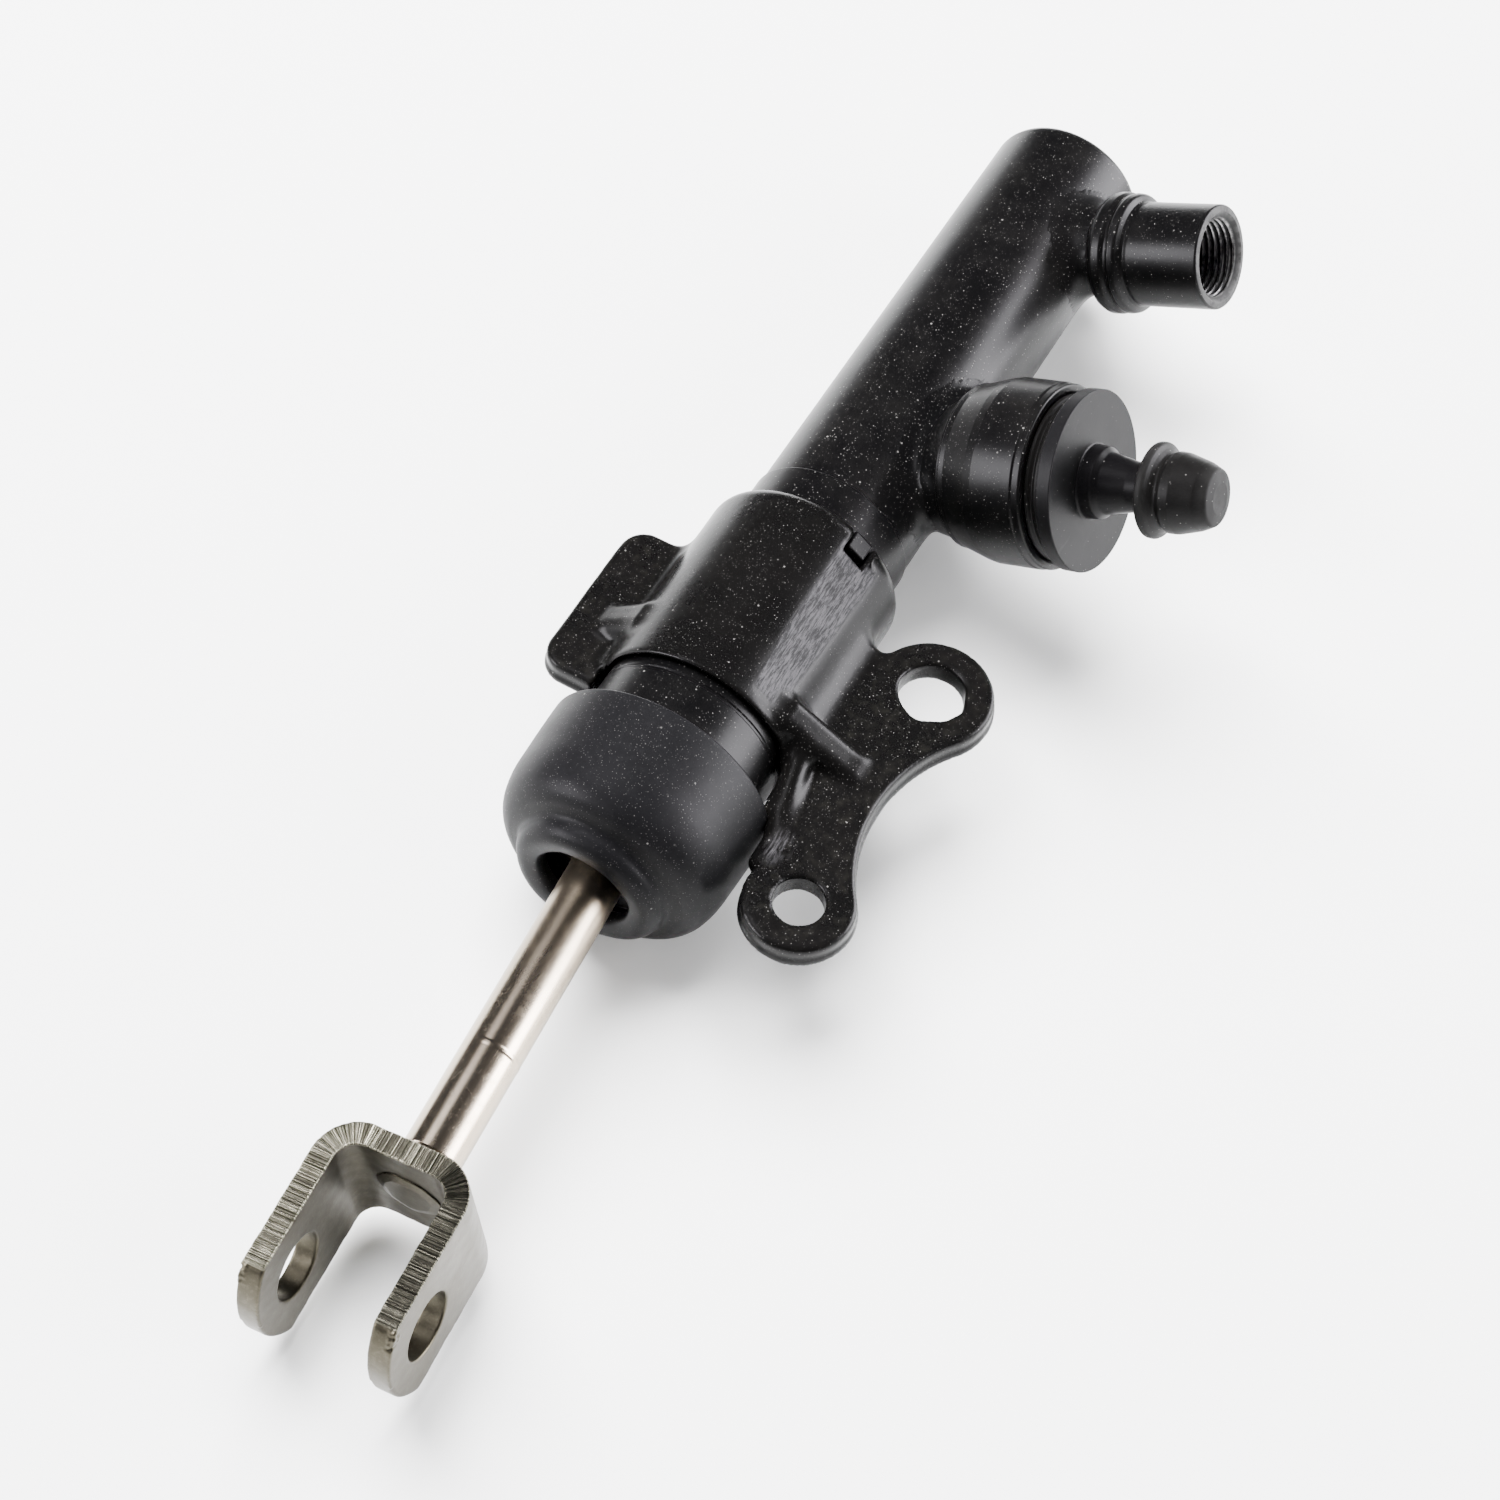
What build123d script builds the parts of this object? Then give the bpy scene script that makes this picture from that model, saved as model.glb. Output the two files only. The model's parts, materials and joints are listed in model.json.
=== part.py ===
from build123d import *
from math import cos, radians, sin, sqrt
import os

os.makedirs("parts", exist_ok=True)

# Frame: the origin is the centre of the smaller flange hole on the mounting face.
# +Y runs along the cylinder towards its closed end, +Z is up out of the flange plate,
# and -X points from the flange holes to the cylinder, whose axis lies in the mounting plane.

# ---- driving dimensions (mm) ----
HOLE_SPACING = 38.1
SMALL_HOLE_R = 3.5
LARGE_HOLE_R = 4.6
SMALL_EAR_R = 7.9
LARGE_EAR_R = 8.9
PLATE_T = 3.6
WAIST_R = 24.0

TUBE_X = -26.0
TUBE_R = 12.0
SEAT_R = 12.3
BORE_R = 9.53
RING_Y = 57.7
CLOSED_END_Y = 136.8
OPEN_END_Y = -5.8
END_WALL = 5.1
BORE_END_Y = CLOSED_END_Y - END_WALL

HOUSING_R = 14.8
HOUSING_TOP_Y = 51.6
HOUSING_END_Y = 18.2
SLEEVE_R = 13.6
SLEEVE_TOP_Y = 22.2
SLEEVE_END_Y = -4.8

OUTLET_ANGLE = 26.9
INLET_ANGLE = 24.0
OUTLET_Y = 121.5
INLET_Y = 74.5
THREAD_HOLE_R = 5.5
OUTLET_MOUTH = 33.4

ROD_R = 4.0
BALL_R = 7.5
BALL_Y = 2.3
ROD_LEAN = 4.3
LEAN_DROP = 47.0
ROD_LENGTH = 57.0
CLEVIS_TURN = 5.0
PIN_HOLE_R = 4.5
CLEVIS_WIDTH = 19.0
CLEVIS_OUTER = 21.2
STRAP_T = 3.1
PIN_REACH = 17.3
EAR_SIDE = 22.0
EAR_REACH = 26.1

WASHER_Y = -1.8
BOOT_RIM_Y = 9.4
BOOT_MOUTH_Y = -11.3
BOOT_R = 16.9
BOOT_HOLE_R = 6.6

# ---- shared planes and axes ----
TUBE_AXIS = Axis((TUBE_X, 0, 0), (0, 1, 0))
TUBE_SECTION = Plane(origin=(TUBE_X, 0, 0), x_dir=(1, 0, 0), z_dir=(0, 0, 1))


def port_dir(angle):
    """Direction of a port, raised from the mounting plane by the angle."""
    return Vector(cos(radians(angle)), 0, sin(radians(angle)))


def port_axis(y, angle):
    """Axis of a port that leaves the cylinder at this place along it."""
    return Axis((TUBE_X, y, 0), port_dir(angle))


def port_section(y, angle):
    """Half-section plane of a port: local x is the radius, local y the distance from the cylinder axis."""
    return Plane(origin=(TUBE_X, y, 0), x_dir=(0, 1, 0), z_dir=Vector(0, 1, 0).cross(port_dir(angle)))


def port_plane(y, angle):
    """Plane through the cylinder axis, square to the port."""
    return Plane(origin=(TUBE_X, y, 0), x_dir=(0, 1, 0), z_dir=port_dir(angle))


# The rod leans in its socket: mostly towards the flange, a little down.
LEAN_SIDE = Vector(cos(radians(LEAN_DROP)), 0, -sin(radians(LEAN_DROP)))
ROD_DIR = Vector(0, -cos(radians(ROD_LEAN)), 0) + LEAN_SIDE * sin(radians(ROD_LEAN))
BALL = Vector(TUBE_X, BALL_Y, 0)
LEVEL_PIN_DIR = Vector(0, 0, 1).cross(ROD_DIR).normalized()
PIN_DIR = LEVEL_PIN_DIR.rotate(Axis((0, 0, 0), ROD_DIR), CLEVIS_TURN)
ROD_AXIS = Axis(BALL, ROD_DIR)
ROD_SECTION = Plane(origin=BALL, x_dir=PIN_DIR, z_dir=PIN_DIR.cross(ROD_DIR))
EAR_PLANE = Plane(origin=BALL, x_dir=ROD_DIR, z_dir=PIN_DIR)

# ---- cylinder tube: closed at the far end, stepped mouth for the stop washer and circlip ----
RING_STEP = 0.3
CLIP_T = 1.2
WASHER_T = 1.2
WASHER_SEAT_R = 10.2
CLIP_GROOVE_R = 10.9
END_ROUND = 1.6
FEED_Y = 68.2
FEED_R = 1.2
BLEED_Y = 80.0
BLEED_R = 0.6
OUTLET_PASSAGE_R = 1.6

with BuildPart() as cylinder_tube:
    clip_top = WASHER_Y - WASHER_T
    clip_bottom = clip_top - CLIP_T
    with BuildSketch(TUBE_SECTION):
        with BuildLine():
            Polyline(
                (0, CLOSED_END_Y),
                (TUBE_R - END_ROUND, CLOSED_END_Y),
            )
            RadiusArc((TUBE_R - END_ROUND, CLOSED_END_Y), (TUBE_R, CLOSED_END_Y - END_ROUND), END_ROUND)
            Polyline(
                (TUBE_R, CLOSED_END_Y - END_ROUND),
                (TUBE_R, RING_Y),
                (SEAT_R, RING_Y - RING_STEP),
                (SEAT_R, OPEN_END_Y),
                (WASHER_SEAT_R, OPEN_END_Y),
                (WASHER_SEAT_R, clip_bottom),
                (CLIP_GROOVE_R, clip_bottom),
                (CLIP_GROOVE_R, clip_top),
                (WASHER_SEAT_R, clip_top),
                (WASHER_SEAT_R, WASHER_Y),
                (BORE_R, WASHER_Y),
                (BORE_R, BORE_END_Y),
                (0, BORE_END_Y),
                (0, CLOSED_END_Y),
            )
        make_face()
    revolve(axis=TUBE_AXIS)
    for hole_y, angle, hole_r in ((OUTLET_Y, OUTLET_ANGLE, OUTLET_PASSAGE_R),
                                  (FEED_Y, INLET_ANGLE, FEED_R),
                                  (BLEED_Y, INLET_ANGLE, BLEED_R)):
        with BuildSketch(port_plane(hole_y, angle)):
            Circle(hole_r)
        extrude(amount=TUBE_R + 1, mode=Mode.SUBTRACT)
cylinder_tube.part.label = "cylinder_tube"
export_step(cylinder_tube.part, "parts/cylinder_tube.step")

# ---- mount casting: housing, flange plate with two ears, blind tab, gusset ribs ----
SHOULDER = 2.6
TOP_EDGE_R = 12.6
WALL_BLEND = 3.0
MOUTH_R = 14.1
MOUTH_DEPTH = SLEEVE_TOP_Y - HOUSING_END_Y + 0.5
WEB_TOP_Y = 40.7
WEB_INNER_X = -7.6
TAB_X = TUBE_X - 23.2
TAB_LOW_Y = 15.2
TAB_HIGH_Y = 42.3
TAB_CORNER_R = 4.0
TAB_INNER_X = TUBE_X - 14.9
RIB_T = 5.0
RIB_Y = 21.7
RIB_REACH = 24.6
RIB_HIGH = 9.5
TAB_RIB_Y = 26.0
TAB_RIB_REACH = 19.2
TAB_RIB_HIGH = 8.5
FLAT_ANGLE = 38.0
FLAT_DIST = 14.42
FLAT_LOW_Y = 20.7
FLAT_HIGH_Y = 47.4
NOTCH_ANGLE = 36.5
NOTCH_WIDE = 4.2
NOTCH_DEEP = 4.8

waist_y = (HOLE_SPACING**2 + (WAIST_R + SMALL_EAR_R) ** 2 - (WAIST_R + LARGE_EAR_R) ** 2) / (2 * HOLE_SPACING)
waist_x = sqrt((WAIST_R + SMALL_EAR_R) ** 2 - waist_y**2)


def radial_plane(angle, distance, y):
    """Plane square to a radius of the cylinder, tipped from +Z towards +X by the angle."""
    out = Vector(sin(radians(angle)), 0, cos(radians(angle)))
    return Plane(origin=Vector(TUBE_X, y, 0) + out * distance, x_dir=(0, 1, 0), z_dir=out)


with BuildPart() as mount_casting:
    # flange plate with the ears and the waist between them
    with BuildSketch(Plane.XY):
        with BuildLine():
            Polyline((0, 0), (waist_x, waist_y), (0, HOLE_SPACING), (WEB_INNER_X, HOLE_SPACING),
                     (WEB_INNER_X, 0), close=True)
        make_face()
        with Locations((waist_x, waist_y)):
            Circle(WAIST_R, mode=Mode.SUBTRACT)
        Circle(SMALL_EAR_R)
        with Locations((0, HOLE_SPACING)):
            Circle(LARGE_EAR_R)
        with BuildLine():
            Polyline((TUBE_X, HOUSING_END_Y), (WEB_INNER_X + WALL_BLEND, HOUSING_END_Y),
                     (WEB_INNER_X + WALL_BLEND, WEB_TOP_Y),
                     (TUBE_X, WEB_TOP_Y), close=True)
        make_face()
    extrude(amount=PLATE_T)
    # blind tab on the other side
    with BuildSketch(Plane.XY):
        with BuildLine():
            Polyline((TAB_X, TAB_LOW_Y), (TAB_INNER_X, TAB_LOW_Y), (TAB_INNER_X, HOUSING_END_Y),
                     (TUBE_X, HOUSING_END_Y), (TUBE_X, TAB_HIGH_Y), (TAB_X, TAB_HIGH_Y), close=True)
        make_face()
        fillet(vertices().group_by(Axis.X)[0], TAB_CORNER_R)
    extrude(amount=PLATE_T)
    # gusset ribs between the plate and the housing wall
    for side, rib_y, reach, high in ((1, RIB_Y, RIB_REACH, RIB_HIGH),
                                     (-1, TAB_RIB_Y, TAB_RIB_REACH, TAB_RIB_HIGH)):
        rib_plane = Plane(origin=(TUBE_X, rib_y, 0), x_dir=(side, 0, 0), z_dir=(0, -side, 0))
        with BuildSketch(rib_plane):
            with BuildLine():
                Polyline((0, 0), (reach, 0), (reach, PLATE_T), (HOUSING_R - 2, high),
                         (0, high), close=True)
            make_face()
        extrude(amount=RIB_T / 2, both=True)
    # housing barrel with a rounded shoulder
    with BuildSketch(TUBE_SECTION):
        with BuildLine():
            Polyline((0, HOUSING_END_Y), (HOUSING_R, HOUSING_END_Y),
                     (HOUSING_R, HOUSING_TOP_Y - SHOULDER))
            RadiusArc((HOUSING_R, HOUSING_TOP_Y - SHOULDER), (TOP_EDGE_R, HOUSING_TOP_Y), -SHOULDER)
            Polyline((TOP_EDGE_R, HOUSING_TOP_Y), (0, HOUSING_TOP_Y), (0, HOUSING_END_Y))
        make_face()
    revolve(axis=TUBE_AXIS)
    # ground flat along the barrel
    with BuildSketch(radial_plane(FLAT_ANGLE, FLAT_DIST, (FLAT_LOW_Y + FLAT_HIGH_Y) / 2)):
        Rectangle(FLAT_HIGH_Y - FLAT_LOW_Y, HOUSING_R)
    extrude(amount=HOUSING_R - FLAT_DIST + 1, mode=Mode.SUBTRACT)
    # square notch in the top edge for the locating key
    with BuildSketch(radial_plane(NOTCH_ANGLE, SEAT_R - 1, HOUSING_TOP_Y)):
        Rectangle(2 * NOTCH_DEEP, NOTCH_WIDE)
    extrude(amount=HOUSING_R - SEAT_R + 2, mode=Mode.SUBTRACT)
    # bore for the tube, wider mouth for the sleeve
    round_bore = ((0, HOUSING_END_Y - 1), (MOUTH_R, HOUSING_END_Y - 1),
                  (MOUTH_R, HOUSING_END_Y + MOUTH_DEPTH),
                  (SEAT_R, HOUSING_END_Y + MOUTH_DEPTH), (SEAT_R, HOUSING_TOP_Y + 1),
                  (0, HOUSING_TOP_Y + 1))
    with BuildSketch(TUBE_SECTION):
        with BuildLine():
            Polyline(*round_bore, close=True)
        make_face()
    revolve(axis=TUBE_AXIS, mode=Mode.SUBTRACT)
    # flange holes
    with BuildSketch(Plane.XY):
        Circle(SMALL_HOLE_R)
        with Locations((0, HOLE_SPACING)):
            Circle(LARGE_HOLE_R)
    extrude(amount=PLATE_T, mode=Mode.SUBTRACT)
mount_casting.part.label = "mount_casting"
export_step(mount_casting.part, "parts/mount_casting.step")

# ---- locating key in the notch ----
KEY_T = 1.5
KEY_LONG = 3.2
KEY_SET_BACK = 0.2
KEY_WIDE = 3.4

with BuildPart() as locating_key:
    with BuildSketch(radial_plane(NOTCH_ANGLE, 0, HOUSING_TOP_Y - KEY_LONG / 2 - KEY_SET_BACK)):
        Rectangle(KEY_LONG, KEY_WIDE)
    extrude(amount=SEAT_R + KEY_T)
    with BuildSketch(TUBE_SECTION):
        with BuildLine():
            Polyline((0, 0), (SEAT_R, 0), (SEAT_R, CLOSED_END_Y), (0, CLOSED_END_Y), close=True)
        make_face()
    revolve(axis=TUBE_AXIS, mode=Mode.SUBTRACT)
locating_key.part.label = "locating_key"
export_step(locating_key.part, "parts/locating_key.step")

# ---- end sleeve: carries the boot, with a groove for the boot's bead ----
BEAD_Y = 4.0
BEAD_T = 2.0
BEAD_DEPTH = 0.6

with BuildPart() as end_sleeve:
    with BuildSketch(TUBE_SECTION):
        with BuildLine():
            Polyline((SEAT_R, SLEEVE_END_Y), (SLEEVE_R, SLEEVE_END_Y), (SLEEVE_R, BEAD_Y),
                     (SLEEVE_R - BEAD_DEPTH, BEAD_Y), (SLEEVE_R - BEAD_DEPTH, BEAD_Y + BEAD_T),
                     (SLEEVE_R, BEAD_Y + BEAD_T), (SLEEVE_R, SLEEVE_TOP_Y),
                     (SEAT_R, SLEEVE_TOP_Y), close=True)
        make_face()
    revolve(axis=TUBE_AXIS)
end_sleeve.part.label = "end_sleeve"
export_step(end_sleeve.part, "parts/end_sleeve.step")

# ---- dust boot: rubber cup with a rounded shoulder and an oversize hole for the rod ----
BOOT_WAIST_R = 16.3
BOOT_SHOULDER_Y = -3.4
BOOT_FACE_R = 9.6
BOOT_WALL = 2.7
BOOT_INNER_END_Y = BOOT_MOUTH_Y + BOOT_WALL
BOOT_SIDE_R = 13.9
BOOT_FLOOR_R = 9.0

with BuildPart() as dust_boot:
    with BuildSketch(TUBE_SECTION):
        with BuildLine():
            Polyline((SLEEVE_R, BOOT_RIM_Y), (BOOT_R - 0.5, BOOT_RIM_Y), (BOOT_R, BOOT_RIM_Y - 0.5),
                     (BOOT_WAIST_R, BOOT_SHOULDER_Y))
            TangentArc((BOOT_WAIST_R, BOOT_SHOULDER_Y), (BOOT_FACE_R, BOOT_MOUTH_Y), tangent=(0, -1))
            Polyline((BOOT_FACE_R, BOOT_MOUTH_Y), (BOOT_HOLE_R, BOOT_MOUTH_Y),
                     (BOOT_HOLE_R, BOOT_INNER_END_Y),
                     (BOOT_FLOOR_R, BOOT_INNER_END_Y), (BOOT_SIDE_R, SLEEVE_END_Y - 0.6),
                     (BOOT_SIDE_R, SLEEVE_END_Y),
                     (SLEEVE_R, SLEEVE_END_Y), (SLEEVE_R, BEAD_Y), (SLEEVE_R - BEAD_DEPTH, BEAD_Y),
                     (SLEEVE_R - BEAD_DEPTH, BEAD_Y + BEAD_T), (SLEEVE_R, BEAD_Y + BEAD_T),
                     (SLEEVE_R, BOOT_RIM_Y))
        make_face()
    revolve(axis=TUBE_AXIS)
dust_boot.part.label = "dust_boot"
export_step(dust_boot.part, "parts/dust_boot.step")

# ---- outlet boss: brazed neck, ring collar and threaded barrel ----
BARREL_R = 7.65
COLLAR_R = 9.0
COLLAR_LOW = 16.0
COLLAR_HIGH = 20.6
NECK_R = 6.1
NECK_LOW = 13.2
FOOT_R = 7.9
FOOT_TOP = 10.6
SEAT_DIST = 19.0

with BuildPart() as outlet_boss:
    with BuildSketch(port_section(OUTLET_Y, OUTLET_ANGLE)):
        with BuildLine():
            Polyline((OUTLET_PASSAGE_R, 0), (FOOT_R, 0), (FOOT_R, FOOT_TOP), (NECK_R + 0.6, NECK_LOW),
                     (NECK_R, NECK_LOW + 1.4), (NECK_R, COLLAR_LOW - 0.8), (COLLAR_R - 0.9, COLLAR_LOW),
                     (COLLAR_R, COLLAR_LOW + 0.9), (COLLAR_R, COLLAR_HIGH - 1.0),
                     (COLLAR_R - 0.9, COLLAR_HIGH), (BARREL_R, COLLAR_HIGH + 0.4),
                     (BARREL_R, OUTLET_MOUTH - 0.4), (BARREL_R - 0.4, OUTLET_MOUTH),
                     (THREAD_HOLE_R + 0.7, OUTLET_MOUTH), (THREAD_HOLE_R, OUTLET_MOUTH - 0.7),
                     (THREAD_HOLE_R, SEAT_DIST), (OUTLET_PASSAGE_R, SEAT_DIST - 1.5), close=True)
        make_face()
    revolve(axis=port_axis(OUTLET_Y, OUTLET_ANGLE))
    with BuildSketch(TUBE_SECTION):
        with BuildLine():
            Polyline((0, 0), (TUBE_R, 0), (TUBE_R, CLOSED_END_Y + 5), (0, CLOSED_END_Y + 5), close=True)
        make_face()
    revolve(axis=TUBE_AXIS, mode=Mode.SUBTRACT)
outlet_boss.part.label = "outlet_boss"
export_step(outlet_boss.part, "parts/outlet_boss.step")

# ---- inlet boss: stepped cup for the reservoir nozzle ----
CUP_R = 13.2
CUP_MOUTH = 29.9
CUP_BORE_R = 11.2
CUP_FLOOR = 18.0
INLET_FOOT_R = 11.3
CONE_LOW = 16.2
CONE_HIGH = 21.4
PLENUM_R = 5.5
INLET_NECK_LOW = 8.0
INLET_NECK_LONG_R = 11.0
INLET_NECK_WIDE_R = 7.4
INLET_FOOT_LOW = 15.8

with BuildPart() as inlet_boss:
    # oval neck, long along the tube and narrow across it, spreading to the round foot
    with BuildSketch(port_plane(INLET_Y, INLET_ANGLE).offset(INLET_NECK_LOW)):
        Ellipse(INLET_NECK_LONG_R, INLET_NECK_WIDE_R)
    with BuildSketch(port_plane(INLET_Y, INLET_ANGLE).offset(INLET_FOOT_LOW)):
        Circle(INLET_FOOT_R)
    loft()
    with BuildSketch(port_section(INLET_Y, INLET_ANGLE)):
        with BuildLine():
            Polyline((0, INLET_FOOT_LOW), (INLET_FOOT_R, INLET_FOOT_LOW), (INLET_FOOT_R, CONE_LOW),
                     (INLET_FOOT_R + 0.5, CONE_LOW + 0.4), (CUP_R, CONE_HIGH), (CUP_R, CUP_MOUTH - 0.5),
                     (CUP_R - 0.5, CUP_MOUTH), (CUP_BORE_R, CUP_MOUTH), (CUP_BORE_R, CUP_FLOOR),
                     (0, CUP_FLOOR), close=True)
        make_face()
    revolve(axis=port_axis(INLET_Y, INLET_ANGLE))
    with BuildSketch(port_plane(INLET_Y, INLET_ANGLE)):
        Circle(PLENUM_R)
    extrude(amount=CUP_FLOOR, mode=Mode.SUBTRACT)
    with BuildSketch(TUBE_SECTION):
        with BuildLine():
            Polyline((0, 0), (TUBE_R, 0), (TUBE_R, CLOSED_END_Y), (0, CLOSED_END_Y), close=True)
        make_face()
    revolve(axis=TUBE_AXIS, mode=Mode.SUBTRACT)
inlet_boss.part.label = "inlet_boss"
export_step(inlet_boss.part, "parts/inlet_boss.step")

# ---- inlet grommet: rubber seal between the cup and the nozzle disc ----
DISC_LOW = 32.3
DISC_T = 2.1
DISC_R = 12.8
SPIGOT_R = 6.0
GROMMET_LIP_R = 11.7

with BuildPart() as inlet_grommet:
    with BuildSketch(port_section(INLET_Y, INLET_ANGLE)):
        with BuildLine():
            Polyline((SPIGOT_R, CUP_FLOOR), (CUP_BORE_R, CUP_FLOOR), (CUP_BORE_R, CUP_MOUTH),
                     (GROMMET_LIP_R, CUP_MOUTH), (GROMMET_LIP_R, DISC_LOW),
                     (SPIGOT_R, DISC_LOW), close=True)
        make_face()
    revolve(axis=port_axis(INLET_Y, INLET_ANGLE))
inlet_grommet.part.label = "inlet_grommet"
export_step(inlet_grommet.part, "parts/inlet_grommet.step")

# ---- inlet nozzle: plastic disc with a hollow tapered stem ----
STEM_FOOT_R = 5.2
STEM_FOOT_T = 2.0
STEM_ROOT_R = 4.4
STEM_NECK_LOW = 41.9
STEM_NECK_HIGH = 45.4
STEM_NECK_R = 3.35
STEM_END = 49.6
STEM_TIP_R = 3.5
NOZZLE_BORE_R = 1.7
DISC_HIGH = DISC_LOW + DISC_T

with BuildPart() as inlet_nozzle:
    with BuildSketch(port_section(INLET_Y, INLET_ANGLE)):
        with BuildLine():
            Polyline((NOZZLE_BORE_R, CUP_FLOOR), (SPIGOT_R, CUP_FLOOR), (SPIGOT_R, DISC_LOW),
                     (DISC_R, DISC_LOW), (DISC_R, DISC_HIGH), (STEM_FOOT_R, DISC_HIGH),
                     (STEM_FOOT_R, DISC_HIGH + STEM_FOOT_T), (STEM_ROOT_R, DISC_HIGH + STEM_FOOT_T + 0.6),
                     (STEM_NECK_R, STEM_NECK_LOW), (STEM_NECK_R, STEM_NECK_HIGH),
                     (STEM_TIP_R, STEM_NECK_HIGH + 1),
                     (STEM_TIP_R - 0.4, STEM_END), (NOZZLE_BORE_R, STEM_END), close=True)
        make_face()
    revolve(axis=port_axis(INLET_Y, INLET_ANGLE))
inlet_nozzle.part.label = "inlet_nozzle"
export_step(inlet_nozzle.part, "parts/inlet_nozzle.step")

# ---- nozzle cap: rubber transit cap with a ring lip and a blunt bulb ----
CAP_LOW = 43.4
CAP_HIGH = 53.7
CAP_LIP_R = 6.7
CAP_BULB_R = 5.7
CAP_NECK_R = 5.2
CAP_BORE_R = 3.6
CAP_TIP_R = 3.3
CAP_BORE_END = 50.4

with BuildPart() as nozzle_cap:
    with BuildSketch(port_section(INLET_Y, INLET_ANGLE)):
        with BuildLine():
            Polyline((CAP_BORE_R, CAP_LOW), (CAP_NECK_R - 0.2, CAP_LOW), (CAP_LIP_R, CAP_LOW + 0.8),
                     (CAP_LIP_R, CAP_LOW + 1.8), (CAP_NECK_R, CAP_LOW + 2.8), (CAP_BULB_R, CAP_LOW + 4.0),
                     (CAP_BULB_R - 0.4, CAP_HIGH - 2.6), (CAP_TIP_R + 1.1, CAP_HIGH - 0.6),
                     (CAP_TIP_R, CAP_HIGH),
                     (0, CAP_HIGH), (0, CAP_BORE_END), (CAP_BORE_R, CAP_BORE_END), close=True)
        make_face()
    revolve(axis=port_axis(INLET_Y, INLET_ANGLE))
nozzle_cap.part.label = "nozzle_cap"
export_step(nozzle_cap.part, "parts/nozzle_cap.step")

# ---- stop washer and circlip in the tube's mouth ----
WASHER_HOLE_R = 6.4
CLIP_INNER_R = 8.9
CLIP_GAP_ANGLE = 40.0

with BuildPart() as stop_washer:
    with BuildSketch(TUBE_SECTION):
        with BuildLine():
            Polyline((WASHER_HOLE_R, WASHER_Y - WASHER_T), (WASHER_SEAT_R, WASHER_Y - WASHER_T),
                     (WASHER_SEAT_R, WASHER_Y), (WASHER_HOLE_R, WASHER_Y), close=True)
        make_face()
    revolve(axis=TUBE_AXIS)
stop_washer.part.label = "stop_washer"
export_step(stop_washer.part, "parts/stop_washer.step")

with BuildPart() as circlip:
    with BuildSketch(TUBE_SECTION):
        with BuildLine():
            Polyline((CLIP_INNER_R, clip_bottom), (CLIP_GROOVE_R, clip_bottom), (CLIP_GROOVE_R, clip_top),
                     (CLIP_INNER_R, clip_top), close=True)
        make_face()
    revolve(axis=TUBE_AXIS, revolution_arc=360 - CLIP_GAP_ANGLE)
circlip.part.label = "circlip"
export_step(circlip.part, "parts/circlip.step")

# ---- piston: spool with a ball socket at the rear ----
PISTON_R = 9.48
PISTON_REAR_Y = -0.8
PISTON_FRONT_Y = 73.0
SOCKET_R = 7.56
SPOOL_R = 6.4
HEAD_T = 3.3
REAR_LAND_Y = 14.5
SEAL_GROOVE_T = 4.0
MID_LAND_Y = 21.0

with BuildPart() as piston:
    with BuildSketch(TUBE_SECTION):
        with BuildLine():
            Polyline((0, PISTON_REAR_Y), (PISTON_R, PISTON_REAR_Y), (PISTON_R, REAR_LAND_Y),
                     (SPOOL_R, REAR_LAND_Y), (SPOOL_R, REAR_LAND_Y + SEAL_GROOVE_T),
                     (PISTON_R, REAR_LAND_Y + SEAL_GROOVE_T), (PISTON_R, MID_LAND_Y),
                     (SPOOL_R, MID_LAND_Y + 1.5), (SPOOL_R, PISTON_FRONT_Y - HEAD_T),
                     (PISTON_R, PISTON_FRONT_Y - HEAD_T), (PISTON_R, PISTON_FRONT_Y),
                     (0, PISTON_FRONT_Y), close=True)
        make_face()
    revolve(axis=TUBE_AXIS)
    with BuildSketch(TUBE_SECTION):
        with BuildLine():
            Polyline((0, BALL_Y + SOCKET_R), (0, PISTON_REAR_Y - 1),
                     (SOCKET_R, PISTON_REAR_Y - 1), (SOCKET_R, BALL_Y))
            RadiusArc((SOCKET_R, BALL_Y), (0, BALL_Y + SOCKET_R), -SOCKET_R)
        make_face()
    revolve(axis=TUBE_AXIS, mode=Mode.SUBTRACT)
piston.part.label = "piston"
export_step(piston.part, "parts/piston.step")

# ---- seals on the piston ----
CUP_OUTER_R = 9.46
CUP_WASHER_T = 0.8
CUP_LONG = 5.2
CUP_BASE_T = 2.0
LIP_T = 1.2
CUP_FLOOR_R = 6.2

with BuildPart() as secondary_cup:
    with BuildSketch(TUBE_SECTION):
        with BuildLine():
            Polyline((SPOOL_R, REAR_LAND_Y + 0.1), (CUP_OUTER_R - 0.3, REAR_LAND_Y + 0.1),
                     (CUP_OUTER_R, REAR_LAND_Y + SEAL_GROOVE_T - 0.1),
                     (CUP_OUTER_R - LIP_T, REAR_LAND_Y + SEAL_GROOVE_T - 0.1),
                     (SPOOL_R + LIP_T, REAR_LAND_Y + CUP_BASE_T),
                     (SPOOL_R, REAR_LAND_Y + CUP_BASE_T), close=True)
        make_face()
    revolve(axis=TUBE_AXIS)
secondary_cup.part.label = "secondary_cup"
export_step(secondary_cup.part, "parts/secondary_cup.step")

cup_rear_y = PISTON_FRONT_Y + CUP_WASHER_T
cup_front_y = cup_rear_y + CUP_LONG
with BuildPart() as cup_washer:
    with BuildSketch(Plane(origin=(TUBE_X, PISTON_FRONT_Y, 0), x_dir=(1, 0, 0), z_dir=(0, 1, 0))):
        Circle(PISTON_R - 0.3)
    extrude(amount=CUP_WASHER_T)
cup_washer.part.label = "cup_washer"
export_step(cup_washer.part, "parts/cup_washer.step")

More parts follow.
